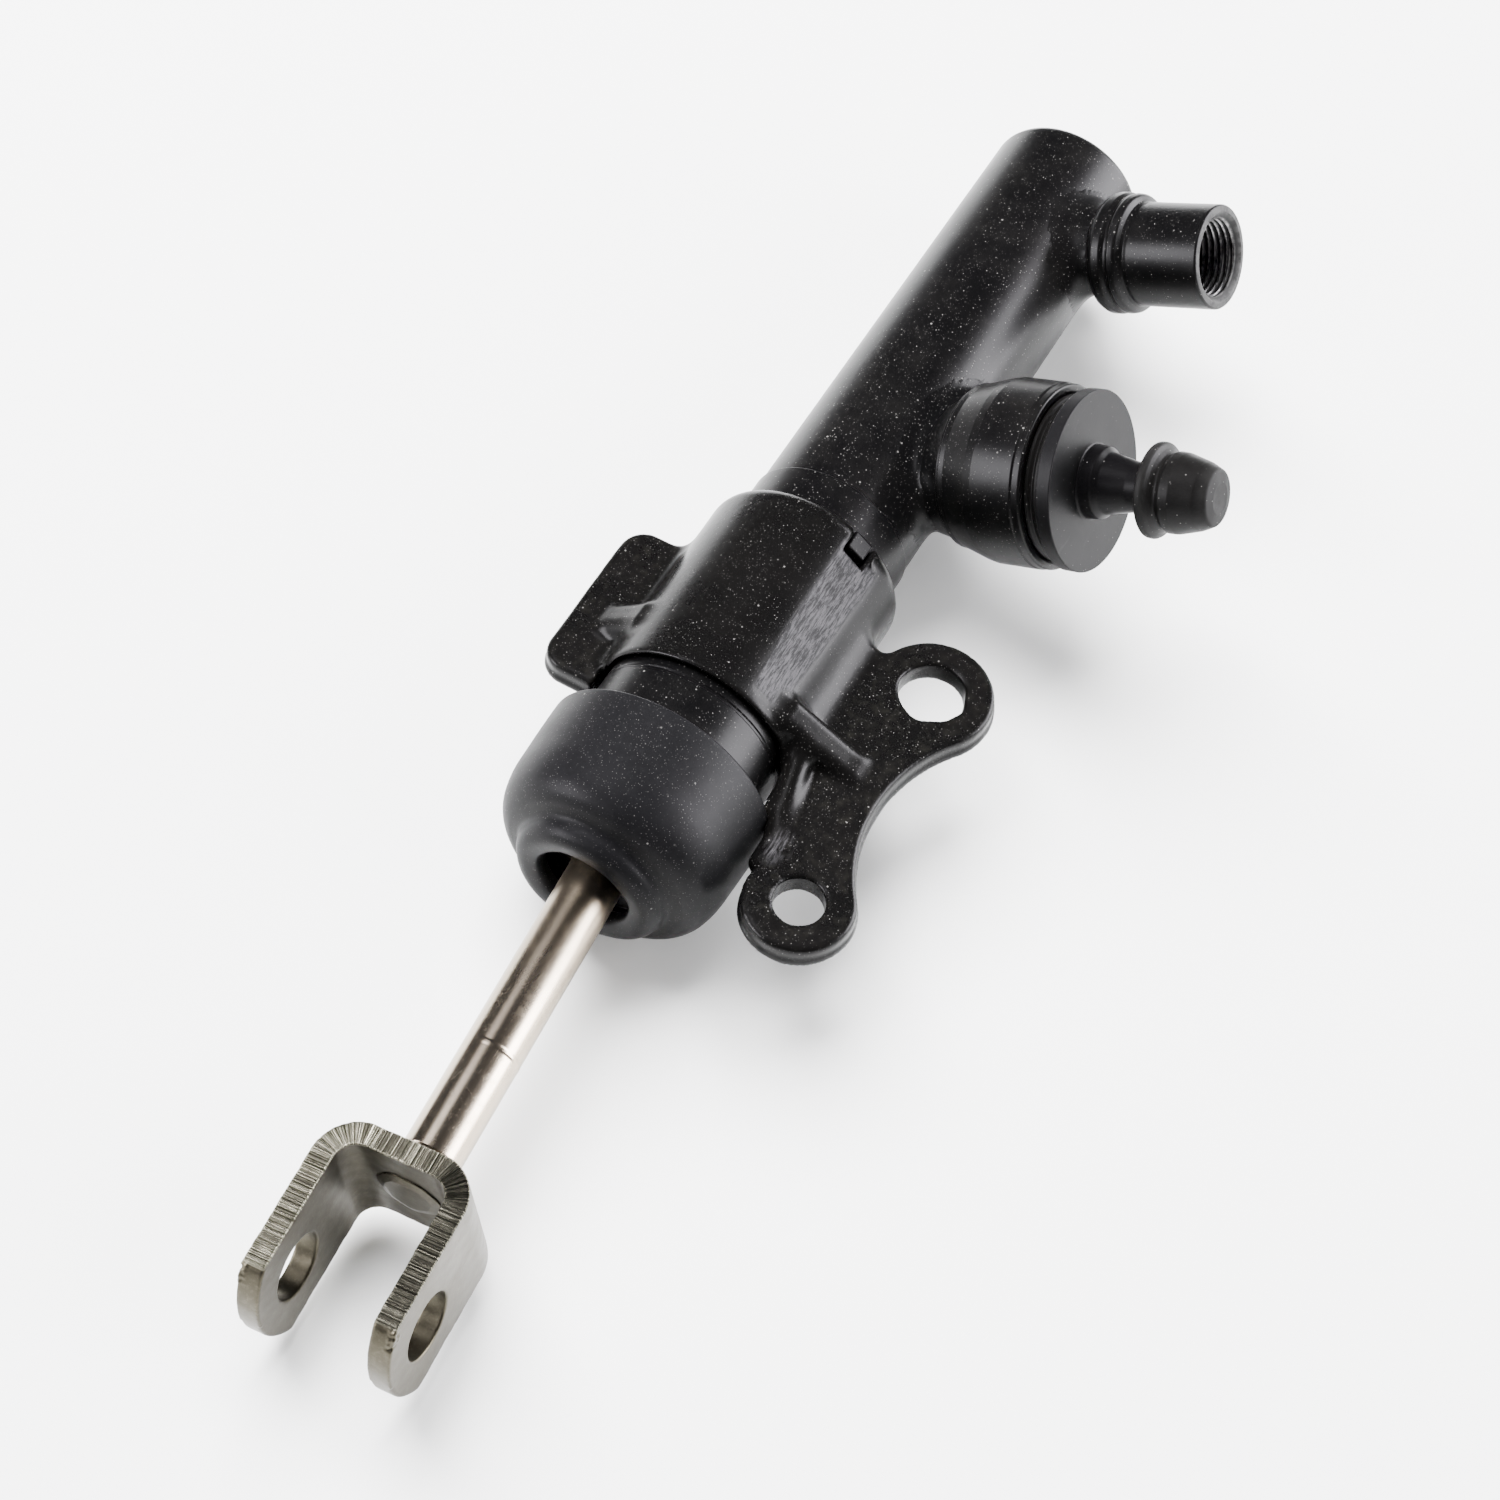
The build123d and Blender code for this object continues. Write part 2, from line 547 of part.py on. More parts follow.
with BuildPart() as primary_cup:
    with BuildSketch(TUBE_SECTION):
        with BuildLine():
            Polyline((0, cup_rear_y), (CUP_OUTER_R - 0.3, cup_rear_y), (CUP_OUTER_R, cup_front_y),
                     (CUP_OUTER_R - LIP_T, cup_front_y), (CUP_FLOOR_R, cup_rear_y + CUP_BASE_T),
                     (0, cup_rear_y + CUP_BASE_T), close=True)
        make_face()
    revolve(axis=TUBE_AXIS)
primary_cup.part.label = "primary_cup"
export_step(primary_cup.part, "parts/primary_cup.step")

# ---- spring retainer: a button that stands in the cup and carries the spring ----
RETAINER_R = 8.6
RETAINER_T = 1.2
NOSE_R = 4.8
NOSE_LONG = 5.0
SEAT_GAP = 0.05

retainer_y = cup_front_y + SEAT_GAP
with BuildPart() as spring_retainer:
    with BuildSketch(TUBE_SECTION):
        with BuildLine():
            Polyline((0, cup_rear_y + CUP_BASE_T + SEAT_GAP),
                     (NOSE_R, cup_rear_y + CUP_BASE_T + SEAT_GAP), (NOSE_R, retainer_y),
                     (RETAINER_R, retainer_y), (RETAINER_R, retainer_y + RETAINER_T),
                     (NOSE_R, retainer_y + RETAINER_T),
                     (NOSE_R - 1, retainer_y + RETAINER_T + NOSE_LONG),
                     (0, retainer_y + RETAINER_T + NOSE_LONG), close=True)
        make_face()
    revolve(axis=TUBE_AXIS)
spring_retainer.part.label = "spring_retainer"
export_step(spring_retainer.part, "parts/spring_retainer.step")

# ---- return spring: open coil between the retainer and the closed end ----
WIRE_R = 0.9
COIL_R = 7.0
COILS = 9

spring_low_y = retainer_y + RETAINER_T + SEAT_GAP
spring_long = BORE_END_Y - spring_low_y - SEAT_GAP
coil_rise = spring_long - 2 * WIRE_R
with BuildPart() as return_spring:
    with BuildLine() as coil_line:
        Helix(pitch=coil_rise / COILS, height=coil_rise, radius=COIL_R,
              center=(TUBE_X, spring_low_y + WIRE_R, 0), direction=(0, 1, 0))
    with BuildSketch(Plane(origin=coil_line.line @ 0, z_dir=coil_line.line % 0)):
        Circle(WIRE_R)
    sweep(path=coil_line.line, is_frenet=True)
return_spring.part.label = "return_spring"
export_step(return_spring.part, "parts/return_spring.step")

# ---- pushrod: ball end in the piston, tenon riveted inside the clevis ----
TENON_R = 3.4
RIVET_R = 4.6
RIVET_HIGH = 1.5

with BuildPart() as pushrod:
    neck = sqrt(BALL_R**2 - ROD_R**2)
    inner_face = ROD_LENGTH + STRAP_T
    with BuildSketch(ROD_SECTION):
        with BuildLine():
            Polyline((0, -BALL_R), (0, inner_face + RIVET_HIGH), (RIVET_R - 1.0, inner_face + RIVET_HIGH),
                     (RIVET_R, inner_face), (TENON_R, inner_face), (TENON_R, ROD_LENGTH),
                     (ROD_R, ROD_LENGTH),
                     (ROD_R, neck))
            ThreePointArc((ROD_R, neck), (BALL_R, 0), (0, -BALL_R))
        make_face()
    revolve(axis=ROD_AXIS)
pushrod.part.label = "pushrod"
export_step(pushrod.part, "parts/pushrod.step")

# ---- clevis: bent strap with a round hole in each ear ----
BEND_R = 6.0
STRAIGHT = ROD_LENGTH + BEND_R

with BuildPart() as clevis:
    half = CLEVIS_OUTER / 2
    with BuildSketch(ROD_SECTION):
        with BuildLine():
            Polyline((half, STRAIGHT), (half - STRAP_T, STRAIGHT))
            RadiusArc((half - STRAP_T, STRAIGHT),
                      (half - BEND_R, ROD_LENGTH + STRAP_T), -(BEND_R - STRAP_T))
            Polyline((half - BEND_R, ROD_LENGTH + STRAP_T), (BEND_R - half, ROD_LENGTH + STRAP_T))
            RadiusArc((BEND_R - half, ROD_LENGTH + STRAP_T),
                      (STRAP_T - half, STRAIGHT), -(BEND_R - STRAP_T))
            Polyline((STRAP_T - half, STRAIGHT), (-half, STRAIGHT))
            RadiusArc((-half, STRAIGHT), (BEND_R - half, ROD_LENGTH), BEND_R)
            Polyline((BEND_R - half, ROD_LENGTH), (half - BEND_R, ROD_LENGTH))
            RadiusArc((half - BEND_R, ROD_LENGTH), (half, STRAIGHT), BEND_R)
        make_face()
    extrude(amount=CLEVIS_WIDTH / 2, both=True)
    side = CLEVIS_WIDTH / 2
    for inner_x in (half - STRAP_T, -half):
        with BuildSketch(EAR_PLANE.offset(inner_x)):
            with BuildLine():
                Polyline((ROD_LENGTH + EAR_SIDE, side), (STRAIGHT, side), (STRAIGHT, -side),
                         (ROD_LENGTH + EAR_SIDE, -side))
                ThreePointArc((ROD_LENGTH + EAR_SIDE, -side), (ROD_LENGTH + EAR_REACH, 0),
                              (ROD_LENGTH + EAR_SIDE, side))
            make_face()
            with Locations((ROD_LENGTH + PIN_REACH, 0)):
                Circle(PIN_HOLE_R, mode=Mode.SUBTRACT)
        extrude(amount=STRAP_T)
    with BuildSketch(Plane(origin=BALL, x_dir=PIN_DIR, z_dir=ROD_DIR).offset(ROD_LENGTH)):
        Circle(TENON_R)
    extrude(amount=STRAP_T, mode=Mode.SUBTRACT)
clevis.part.label = "clevis"
export_step(clevis.part, "parts/clevis.step")
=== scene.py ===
import json
import math

import bpy
import numpy as np
import openvdb
from mathutils import Euler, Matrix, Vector


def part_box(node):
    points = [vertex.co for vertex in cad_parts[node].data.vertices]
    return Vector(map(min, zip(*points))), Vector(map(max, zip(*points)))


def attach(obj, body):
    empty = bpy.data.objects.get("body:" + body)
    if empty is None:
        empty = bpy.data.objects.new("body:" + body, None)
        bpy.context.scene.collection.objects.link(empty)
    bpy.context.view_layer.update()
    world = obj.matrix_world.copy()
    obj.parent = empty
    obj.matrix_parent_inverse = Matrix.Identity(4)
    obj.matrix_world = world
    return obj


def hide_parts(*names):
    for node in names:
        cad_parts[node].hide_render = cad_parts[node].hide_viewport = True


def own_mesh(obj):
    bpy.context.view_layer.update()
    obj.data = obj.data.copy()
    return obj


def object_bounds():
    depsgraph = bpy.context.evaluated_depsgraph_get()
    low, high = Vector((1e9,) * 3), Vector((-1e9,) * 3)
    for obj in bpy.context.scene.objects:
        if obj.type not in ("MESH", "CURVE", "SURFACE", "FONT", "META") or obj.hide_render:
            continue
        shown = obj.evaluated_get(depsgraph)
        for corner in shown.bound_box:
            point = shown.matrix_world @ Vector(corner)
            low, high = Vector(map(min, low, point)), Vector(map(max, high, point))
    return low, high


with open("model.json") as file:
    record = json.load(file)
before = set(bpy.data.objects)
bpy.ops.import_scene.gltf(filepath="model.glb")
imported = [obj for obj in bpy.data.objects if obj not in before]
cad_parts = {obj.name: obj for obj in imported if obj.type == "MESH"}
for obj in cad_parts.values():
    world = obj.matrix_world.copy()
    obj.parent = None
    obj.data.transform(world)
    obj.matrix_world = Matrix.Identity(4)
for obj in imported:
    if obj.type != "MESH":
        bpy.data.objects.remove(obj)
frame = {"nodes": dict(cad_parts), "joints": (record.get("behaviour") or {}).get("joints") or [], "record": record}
cad_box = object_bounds()

# All shapes below are worked out in millimetres and written to the meshes in metres.
MM = 1000.0
rng = np.random.default_rng(7)
PHASES = 6.28

# ---- places, from the frame
mounts = {m["name"]: m for m in frame["record"]["mounts"]}
joints = {j["name"]: j for j in frame["joints"]}


def span(node):
    """Lowest and highest corner of a CAD node, in mm."""
    low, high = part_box(node)
    return np.array(low) * MM, np.array(high) * MM


def mount_place(name):
    """Position in mm and unit axis of a mount."""
    axis = np.array(mounts[name]["axis"], float)
    return np.array(mounts[name]["pos_m"], float) * MM, axis / np.linalg.norm(axis)


tube_low, tube_high = span("cylinder_tube")
cast_low, cast_high = span("mount_casting")
sleeve_low, sleeve_high = span("end_sleeve")
boot_low, boot_high = span("dust_boot")

TUBE_X = (tube_low[0] + tube_high[0]) / 2
SEAT_R = (tube_high[0] - tube_low[0]) / 2
TUBE_R = SEAT_R - 0.3
BORE_R = 9.53
CLOSED_END_Y = tube_high[1]
OPEN_END_Y = tube_low[1]
BORE_END_Y = joints["stroke"]["deforming_nodes"][0]["fixed_end_y_m"] * MM
RING_Y = 57.7

HOUSING_R = (cast_high[2] - cast_low[2]) / 2
HOUSING_TOP_Y = cast_high[1]
HOUSING_END_Y = 18.2
PLATE_T = mounts["flange_hole_small"]["dims"]["length_mm"]
SMALL_HOLE_R = mounts["flange_hole_small"]["dims"]["r_mm"]
LARGE_HOLE_R = mounts["flange_hole_large"]["dims"]["r_mm"]
HOLE_SPACING = mounts["flange_hole_large"]["pos_m"][1] * MM
SMALL_EAR_R = -cast_low[1]
LARGE_EAR_R = cast_high[0]
SLEEVE_R = (sleeve_high[0] - sleeve_low[0]) / 2
BOOT_R = (boot_high[0] - boot_low[0]) / 2

outlet_at, outlet_dir = mount_place("outlet_port")
inlet_at, inlet_dir = mount_place("reservoir_hose")
pin_at, pin_dir = mount_place("clevis_pin")
ball_at = np.array(joints["rod_tilt"]["pos_m"], float) * MM
rod_dir = (pin_at - ball_at) / np.linalg.norm(pin_at - ball_at)
PIN_R = mounts["clevis_pin"]["dims"]["r_mm"]
CLEVIS_OUTER = mounts["clevis_pin"]["dims"]["length_mm"]
PIN_REACH = 17.3
ROD_LENGTH = np.linalg.norm(pin_at - ball_at) - PIN_REACH


def axis_frame(origin, along, side):
    """4x4 placing local Z on `along` and local X near `side`, in mm."""
    z = np.array(along, float)
    x = np.array(side, float) - z * np.dot(side, z)
    x /= np.linalg.norm(x)
    made = np.eye(4)
    made[:3, 0], made[:3, 1], made[:3, 2], made[:3, 3] = x, np.cross(z, x), z, origin
    return made


TUBE_FRAME = axis_frame((TUBE_X, 0, 0), (0, 1, 0), (1, 0, 0))
OUTLET_FRAME = axis_frame((TUBE_X, outlet_at[1], 0), outlet_dir, (0, 1, 0))
INLET_FRAME = axis_frame((TUBE_X, inlet_at[1], 0), inlet_dir, (0, 1, 0))
ROD_FRAME = axis_frame(ball_at, rod_dir, pin_dir)


# ---- mesh tools
def make_piece(name, points, faces, place, body, material, replaces=None):
    """A mesh piece from local points in mm, shaded smooth, riding on a CAD body."""
    points = np.asarray(points, float) @ place[:3, :3].T + place[:3, 3]
    mesh = bpy.data.meshes.new(name)
    mesh.from_pydata((points / MM).tolist(), [], faces)
    mesh.validate()
    mesh.update()
    mesh.shade_smooth()
    piece = bpy.data.objects.new(name, mesh)
    bpy.context.scene.collection.objects.link(piece)
    mesh.materials.append(material)
    if replaces:
        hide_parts(replaces)
    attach(piece, body)
    return piece


def add_values(piece, name, values):
    """Stores one number per vertex, for the material to read."""
    layer = piece.data.attributes.new(name, "FLOAT", "POINT")
    layer.data.foreach_set("value", np.asarray(values, np.float32))


def rounded(corners, steps=5):
    """A profile from (r, s, corner radius) triples.

    Each corner becomes an arc, held by a close point on either side.
    """
    made = []
    count = len(corners)
    for i, (r, s, radius) in enumerate(corners):
        here = np.array((r, s), float)
        if radius <= 0 or i in (0, count - 1):
            made.append(here)
            continue
        before = np.array(corners[i - 1][:2], float) - here
        after = np.array(corners[i + 1][:2], float) - here
        len_b, len_a = np.linalg.norm(before), np.linalg.norm(after)
        before, after = before / len_b, after / len_a
        half = math.acos(max(-1.0, min(1.0, float(before @ after)))) / 2
        cut = min(radius / math.tan(half), len_b * 0.45, len_a * 0.45)
        radius = cut * math.tan(half)
        middle = here + (before + after) / np.linalg.norm(before + after) * (radius / math.sin(half))
        first, last = here + before * cut, here + after * cut
        hold = min(0.12, 0.25 * min(len_b, len_a))
        made.append(first + before * hold)
        for k in range(steps + 1):
            t = k / steps
            point = first * (1 - t) + last * t - middle
            made.append(middle + point / np.linalg.norm(point) * radius)
        made.append(last + after * hold)
    return made


def flowing(points, steps):
    """A smooth Catmull-Rom line through the points."""
    pts = [np.array(p, float) for p in points]
    pts = [2 * pts[0] - pts[1]] + pts + [2 * pts[-1] - pts[-2]]
    made = []
    for a, b, c, d in zip(pts, pts[1:], pts[2:], pts[3:]):
        for k in range(steps):
            t = k / steps
            made.append(0.5 * (2 * b + (c - a) * t + (2 * a - 5 * b + 4 * c - d) * t**2
                               + (3 * b - a - 3 * c + d) * t**3))
    made.append(pts[-2])
    return made


def lathe(profile, turns, closed=True, shape=None):
    """Points and faces of a turned piece. shape(r, s, angle) may move the points of the turned grid."""
    profile = np.array(profile, float)
    angle = np.linspace(0, 2 * np.pi, turns, endpoint=False)
    r = np.repeat(profile[:, :1], turns, axis=1)
    s = np.repeat(profile[:, 1:2], turns, axis=1)
    a = np.repeat(angle[None], len(profile), axis=0)
    if shape:
        r, s = shape(r, s, a)
    points = np.stack([r * np.cos(a), r * np.sin(a), s], axis=2).reshape(-1, 3)
    faces = []
    rows = len(profile)
    for i in range(rows if closed else rows - 1):
        j = (i + 1) % rows
        at_axis = (profile[i, 0] < 1e-6, profile[j, 0] < 1e-6)
        for k in range(turns):
            m = (k + 1) % turns
            if at_axis == (True, True):
                continue
            if at_axis[0]:
                faces.append((i * turns, j * turns + m, j * turns + k))
            elif at_axis[1]:
                faces.append((i * turns + k, i * turns + m, j * turns))
            else:
                faces.append((i * turns + k, i * turns + m, j * turns + m, j * turns + k))
    used = sorted({v for f in faces for v in f})
    new = {v: n for n, v in enumerate(used)}
    area = profile[:, 0] * np.roll(profile[:, 1], -1) - np.roll(profile[:, 0], -1) * profile[:, 1]
    turned = area.sum() > 0
    faces = [tuple(new[v] for v in (f if turned else f[::-1])) for f in faces]
    return points[used], faces


def field_mesh(low, high, step, field):
    """Points and quads of the surface where field(x, y, z) is 0, inside being negative, in mm."""
    axes = [np.arange(a - 3 * step, b + 3 * step, step) for a, b in zip(low, high)]
    x, y, z = np.meshgrid(*axes, indexing="ij", sparse=True)
    values = np.clip(field(x, y, z), -4 * step, 4 * step).astype(np.float32)
    grid = openvdb.FloatGrid(float(4 * step))
    grid.copyFromArray(values)
    points, quads = grid.convertToQuads(isovalue=0.0)
    points = points.astype(float) * step + np.array([a[0] for a in axes])
    corner = points[quads]
    volume = np.einsum("ij,ij->i", corner[:, 0], np.cross(corner[:, 1], corner[:, 2])).sum()
    volume += np.einsum("ij,ij->i", corner[:, 0], np.cross(corner[:, 2], corner[:, 3])).sum()
    if volume < 0:
        quads = quads[:, ::-1]
    return points, quads.tolist()


def join_soft(a, b, radius):
    """Union of two fields with a fillet of about that radius."""
    h = np.clip(0.5 + 0.5 * (b - a) / radius, 0, 1)
    return b * (1 - h) + a * h - radius * h * (1 - h)


def cross_round(a, b, radius):
    """Intersection of two fields with an edge of that radius."""
    corner = np.hypot(np.maximum(a + radius, 0), np.maximum(b + radius, 0))
    return np.minimum(np.maximum(a, b), -radius) + corner


def cut_round(a, b, radius):
    """Field a less field b, with an edge of that radius."""
    return cross_round(a, -b, radius)


def ease(value, low, high):
    """0 below low, 1 above high, smooth between them."""
    t = np.clip((value - low) / (high - low), 0, 1)
    return t * t * (3 - 2 * t)


def ripple(x, y, z, size, count=7):
    """Smooth random swell between about -1 and 1 whose waves are about that size in mm."""
    total = 0.0
    for _ in range(count):
        direction = rng.normal(size=3)
        direction /= np.linalg.norm(direction)
        pace = 2 * np.pi / size * rng.uniform(0.6, 1.5)
        along = x * direction[0] + y * direction[1] + z * direction[2]
        total = total + np.sin(along * pace + rng.uniform(0, PHASES))
    return total / math.sqrt(count)


# ---- material tools
class Nodes:
    """Short calls for the nodes that the materials share. Textures read object coordinates, in metres."""

    def __init__(self, name):
        self.material = bpy.data.materials.new(name)
        self.material.use_nodes = True
        self.tree = self.material.node_tree
        self.shader = self.tree.nodes["Principled BSDF"]
        self.coords = self.tree.nodes.new("ShaderNodeTexCoord").outputs["Object"]

    def new(self, kind, **settings):
        node = self.tree.nodes.new(kind)
        for key, value in settings.items():
            setattr(node, key, value)
        return node

    def link(self, source, socket):
        if isinstance(source, bpy.types.NodeSocket):
            self.tree.links.new(source, socket)
        else:
            socket.default_value = source

    def stretched(self, sx, sy, sz):
        node = self.new("ShaderNodeMapping")
        node.inputs["Scale"].default_value = (sx, sy, sz)
        self.link(self.coords, node.inputs["Vector"])
        return node.outputs["Vector"]

    def noise(self, scale, detail=3.0, rough=0.55, vector=None):
        node = self.new("ShaderNodeTexNoise")
        self.link(vector or self.coords, node.inputs["Vector"])
        node.inputs["Scale"].default_value = scale
        node.inputs["Detail"].default_value = detail
        node.inputs["Roughness"].default_value = rough
        return node.outputs["Fac"]

    def value(self, name):
        return self.new("ShaderNodeAttribute", attribute_name=name).outputs["Fac"]

    def line_noise(self, position, scale, detail=4.0):
        """Noise along one number, such as the length along a strap."""
        node = self.new("ShaderNodeTexNoise", noise_dimensions="1D")
        self.link(position, node.inputs["W"])
        node.inputs["Scale"].default_value = scale
        node.inputs["Detail"].default_value = detail
        return node.outputs["Fac"]

    def math(self, kind, a, b):
        node = self.new("ShaderNodeMath", operation=kind)
        self.link(a, node.inputs[0])
        self.link(b, node.inputs[1])
        return node.outputs[0]

    def plus(self, a, b):
        return self.math("ADD", a, b)

    def times(self, a, b):
        return self.math("MULTIPLY", a, b)

    def step(self, value, low, high, to_low=0.0, to_high=1.0):
        node = self.new("ShaderNodeMapRange", interpolation_type="SMOOTHSTEP")
        self.link(value, node.inputs["Value"])
        for key, number in (("From Min", low), ("From Max", high), ("To Min", to_low), ("To Max", to_high)):
            node.inputs[key].default_value = number
        return node.outputs["Result"]

    def mix(self, share, a, b):
        node = self.new("ShaderNodeMix", data_type="RGBA")
        self.link(share, node.inputs["Factor"])
        for colour, socket in ((a, node.inputs["A"]), (b, node.inputs["B"])):
            self.link(colour if isinstance(colour, bpy.types.NodeSocket) else (*colour, 1.0), socket)
        return node.outputs["Result"]

    def blend(self, share, a, b):
        node = self.new("ShaderNodeMix", data_type="FLOAT")
        self.link(share, node.inputs["Factor"])
        self.link(a, node.inputs["A"])
        self.link(b, node.inputs["B"])
        return node.outputs["Result"]

    def bump(self, height, depth_mm, normal=None):
        node = self.new("ShaderNodeBump")
        node.inputs["Strength"].default_value = 1.0
        node.inputs["Distance"].default_value = depth_mm / MM
        self.link(height, node.inputs["Height"])
        if normal:
            self.link(normal, node.inputs["Normal"])
        return node.outputs["Normal"]

    def specks(self, scale, size, share):
        """Small scattered spots: one in some cells of a Voronoi pattern, 1 on a spot and 0 off it."""
        cells = self.new("ShaderNodeTexVoronoi")
        self.link(self.coords, cells.inputs["Vector"])
        cells.inputs["Scale"].default_value = scale
        spot = self.step(cells.outputs["Distance"], size * 0.5, size, 1.0, 0.0)
        split = self.new("ShaderNodeSeparateColor")
        self.link(cells.outputs["Color"], split.inputs["Color"])
        chosen = self.math("GREATER_THAN", split.outputs["Red"], 1 - share)
        weight = self.times(chosen, split.outputs["Green"])
        return self.times(spot, weight)

    def dust(self, amount, *layers):
        """House dust from layers of specks (scale, size, share, weight), thinned to an amount."""
        total = 0.0
        for scale, size, share, weight in layers:
            total = self.plus(total, self.times(self.specks(scale, size, share), weight))
        return self.times(total, amount)

    def set(self, base, rough, normal=None, **values):
        """Sets the shader's colour, roughness, bump and any other sockets, and returns the material."""
        values.update(Base_Color=base, Roughness=rough)
        if normal:
            values["Normal"] = normal
        for key, value in values.items():
            self.link(value, self.shader.inputs[key.replace("_", " ")])
        return self.material


DUST = (0.33, 0.32, 0.31)


def gloss_paint():
    """Black stoved enamel with a soft orange peel, rubbed dull in places, and house dust."""
    n = Nodes("gloss_paint")
    cloud = n.noise(55, 4)
    film = n.step(n.noise(130, 5, 0.65), 0.35, 0.85)
    dust = n.dust(0.36, (620, 0.12, 0.30, 1.0), (1900, 0.20, 0.40, 1.0), (3400, 0.24, 0.5, 0.5))
    base = n.mix(cloud, (0.0009, 0.0009, 0.0010), (0.0019, 0.0018, 0.0020))
    base = n.mix(n.times(film, 0.05), base, (0.040, 0.038, 0.034))
    base = n.mix(dust, base, DUST)
    rough = n.plus(n.step(cloud, 0.3, 0.7, 0.28, 0.33), n.times(film, 0.06))
    rough = n.blend(dust, rough, 0.8)
    peel = n.bump(n.noise(520, 2), 0.014)
    grit = n.bump(n.noise(2600, 3), 0.003, peel)
    return n.set(base, rough, n.bump(dust, 0.02, grit), Specular_IOR_Level=0.085)


def casting_paint():
    """The same enamel over cast iron: grainy, with a bare scratched flat where it was ground."""
    n = Nodes("casting_paint")
    ground, rough_cast, grime = n.value("ground"), n.value("rough_cast"), n.value("grime")
    cloud = n.noise(70, 5, 0.6)
    dust = n.dust(0.32, (800, 0.13, 0.32, 1.0), (2300, 0.20, 0.40, 1.0), (3900, 0.24, 0.5, 0.5))
    base = n.mix(cloud, (0.0010, 0.0010, 0.0011), (0.0028, 0.0026, 0.0025))
    blotch = n.times(n.step(n.noise(520, 5, 0.75), 0.44, 0.80), n.plus(grime, 0.15))
    base = n.mix(n.times(blotch, 0.045), base, (0.060, 0.056, 0.042))
    base = n.mix(dust, base, DUST)
    lines = n.noise(3800, 4, 0.8, n.stretched(1.0, 0.12, 1.0))
    patches = n.noise(330, 4, 0.7, n.stretched(1.0, 0.35, 1.0))
    worn = n.step(n.plus(lines, n.times(patches, 0.30)), 0.56, 0.76)
    steel = n.mix(worn, (0.005, 0.0049, 0.0053), (0.048, 0.046, 0.050))
    base = n.mix(ground, base, steel)
    rough = n.plus(n.step(cloud, 0.3, 0.7, 0.25, 0.31), n.times(blotch, 0.14))
    rough = n.blend(ground, rough, 0.50)
    grain = n.bump(n.noise(420, 5, 0.65), 0.030)
    grain = n.bump(n.times(n.noise(1500, 4, 0.75), n.plus(rough_cast, 0.05)), 0.09, grain)
    scratches = n.bump(n.times(lines, ground), 0.10, grain)
    return n.set(base, rough, scratches, Specular_IOR_Level=0.085)


def boot_rubber():
    """Moulded rubber gone grey at the surface, with fine pale dust on it."""
    n = Nodes("boot_rubber")
    cloud = n.noise(90, 5, 0.6)
    fine = n.noise(900, 4, 0.7)
    dust = n.dust(0.30, (700, 0.13, 0.3, 1.0), (2200, 0.2, 0.4, 0.6), (3600, 0.22, 0.6, 0.7))
    base = n.mix(cloud, (0.0028, 0.0028, 0.0032), (0.0050, 0.0049, 0.0055))
    base = n.mix(n.times(n.step(fine, 0.45, 0.75), 0.3), base, (0.0075, 0.0075, 0.0082))
    base = n.mix(dust, base, DUST)
    rough = n.step(cloud, 0.3, 0.7, 0.38, 0.46)
    normal = n.bump(fine, 0.012, n.bump(n.noise(260, 3), 0.02))
    return n.set(base, rough, normal, Specular_IOR_Level=0.055)


def seal_rubber():
    """Black rubber of the cap and the seals, worn pale where it is handled."""
    n = Nodes("seal_rubber")
    cloud = n.noise(160, 5, 0.65)
    rub = n.times(n.value("rubbed"), n.step(n.noise(420, 4), 0.3, 0.7, 0.4, 1.0))
    dust = n.times(n.specks(1500, 0.2, 0.4), 0.25)
    base = n.mix(cloud, (0.0016, 0.0015, 0.0015), (0.0038, 0.0036, 0.0035))
    base = n.mix(rub, base, (0.0085, 0.0083, 0.0082))
    base = n.mix(dust, base, DUST)
    rough = n.blend(rub, n.step(cloud, 0.3, 0.7, 0.36, 0.50), 0.70)
    return n.set(base, rough, n.bump(n.noise(1300, 4, 0.7), 0.012),
                 Specular_IOR_Level=0.07)


def nozzle_plastic():
    """Black nylon: a satin face on the disc, coloured a little lighter than the stem as a painted sheen, glossier
    on the stem.
    """
    n = Nodes("nozzle_plastic")
    face = n.value("face")
    cloud = n.noise(180, 4)
    black = n.mix(cloud, (0.0014, 0.0013, 0.0015), (0.0028, 0.0026, 0.0029))
    # The disc face is rougher than the stem, and its colour is made lighter than the stem's as a painted sheen.
    satin = n.mix(cloud, (0.0030, 0.0029, 0.0032), (0.0044, 0.0042, 0.0047))
    scuffs = n.times(n.step(n.noise(900, 4, 0.7, n.stretched(1.0, 0.2, 1.0)), 0.60, 0.72), 0.25)
    base = n.mix(n.times(scuffs, face), n.mix(face, black, satin), (0.030, 0.029, 0.031))
    base = n.mix(n.times(n.specks(1600, 0.17, 0.3), 0.25), base, DUST)
    rough = n.blend(face, n.step(cloud, 0.3, 0.7, 0.34, 0.42), 0.44)
    return n.set(base, rough, n.bump(n.noise(1700, 3), 0.004), Specular_IOR_Level=0.06)


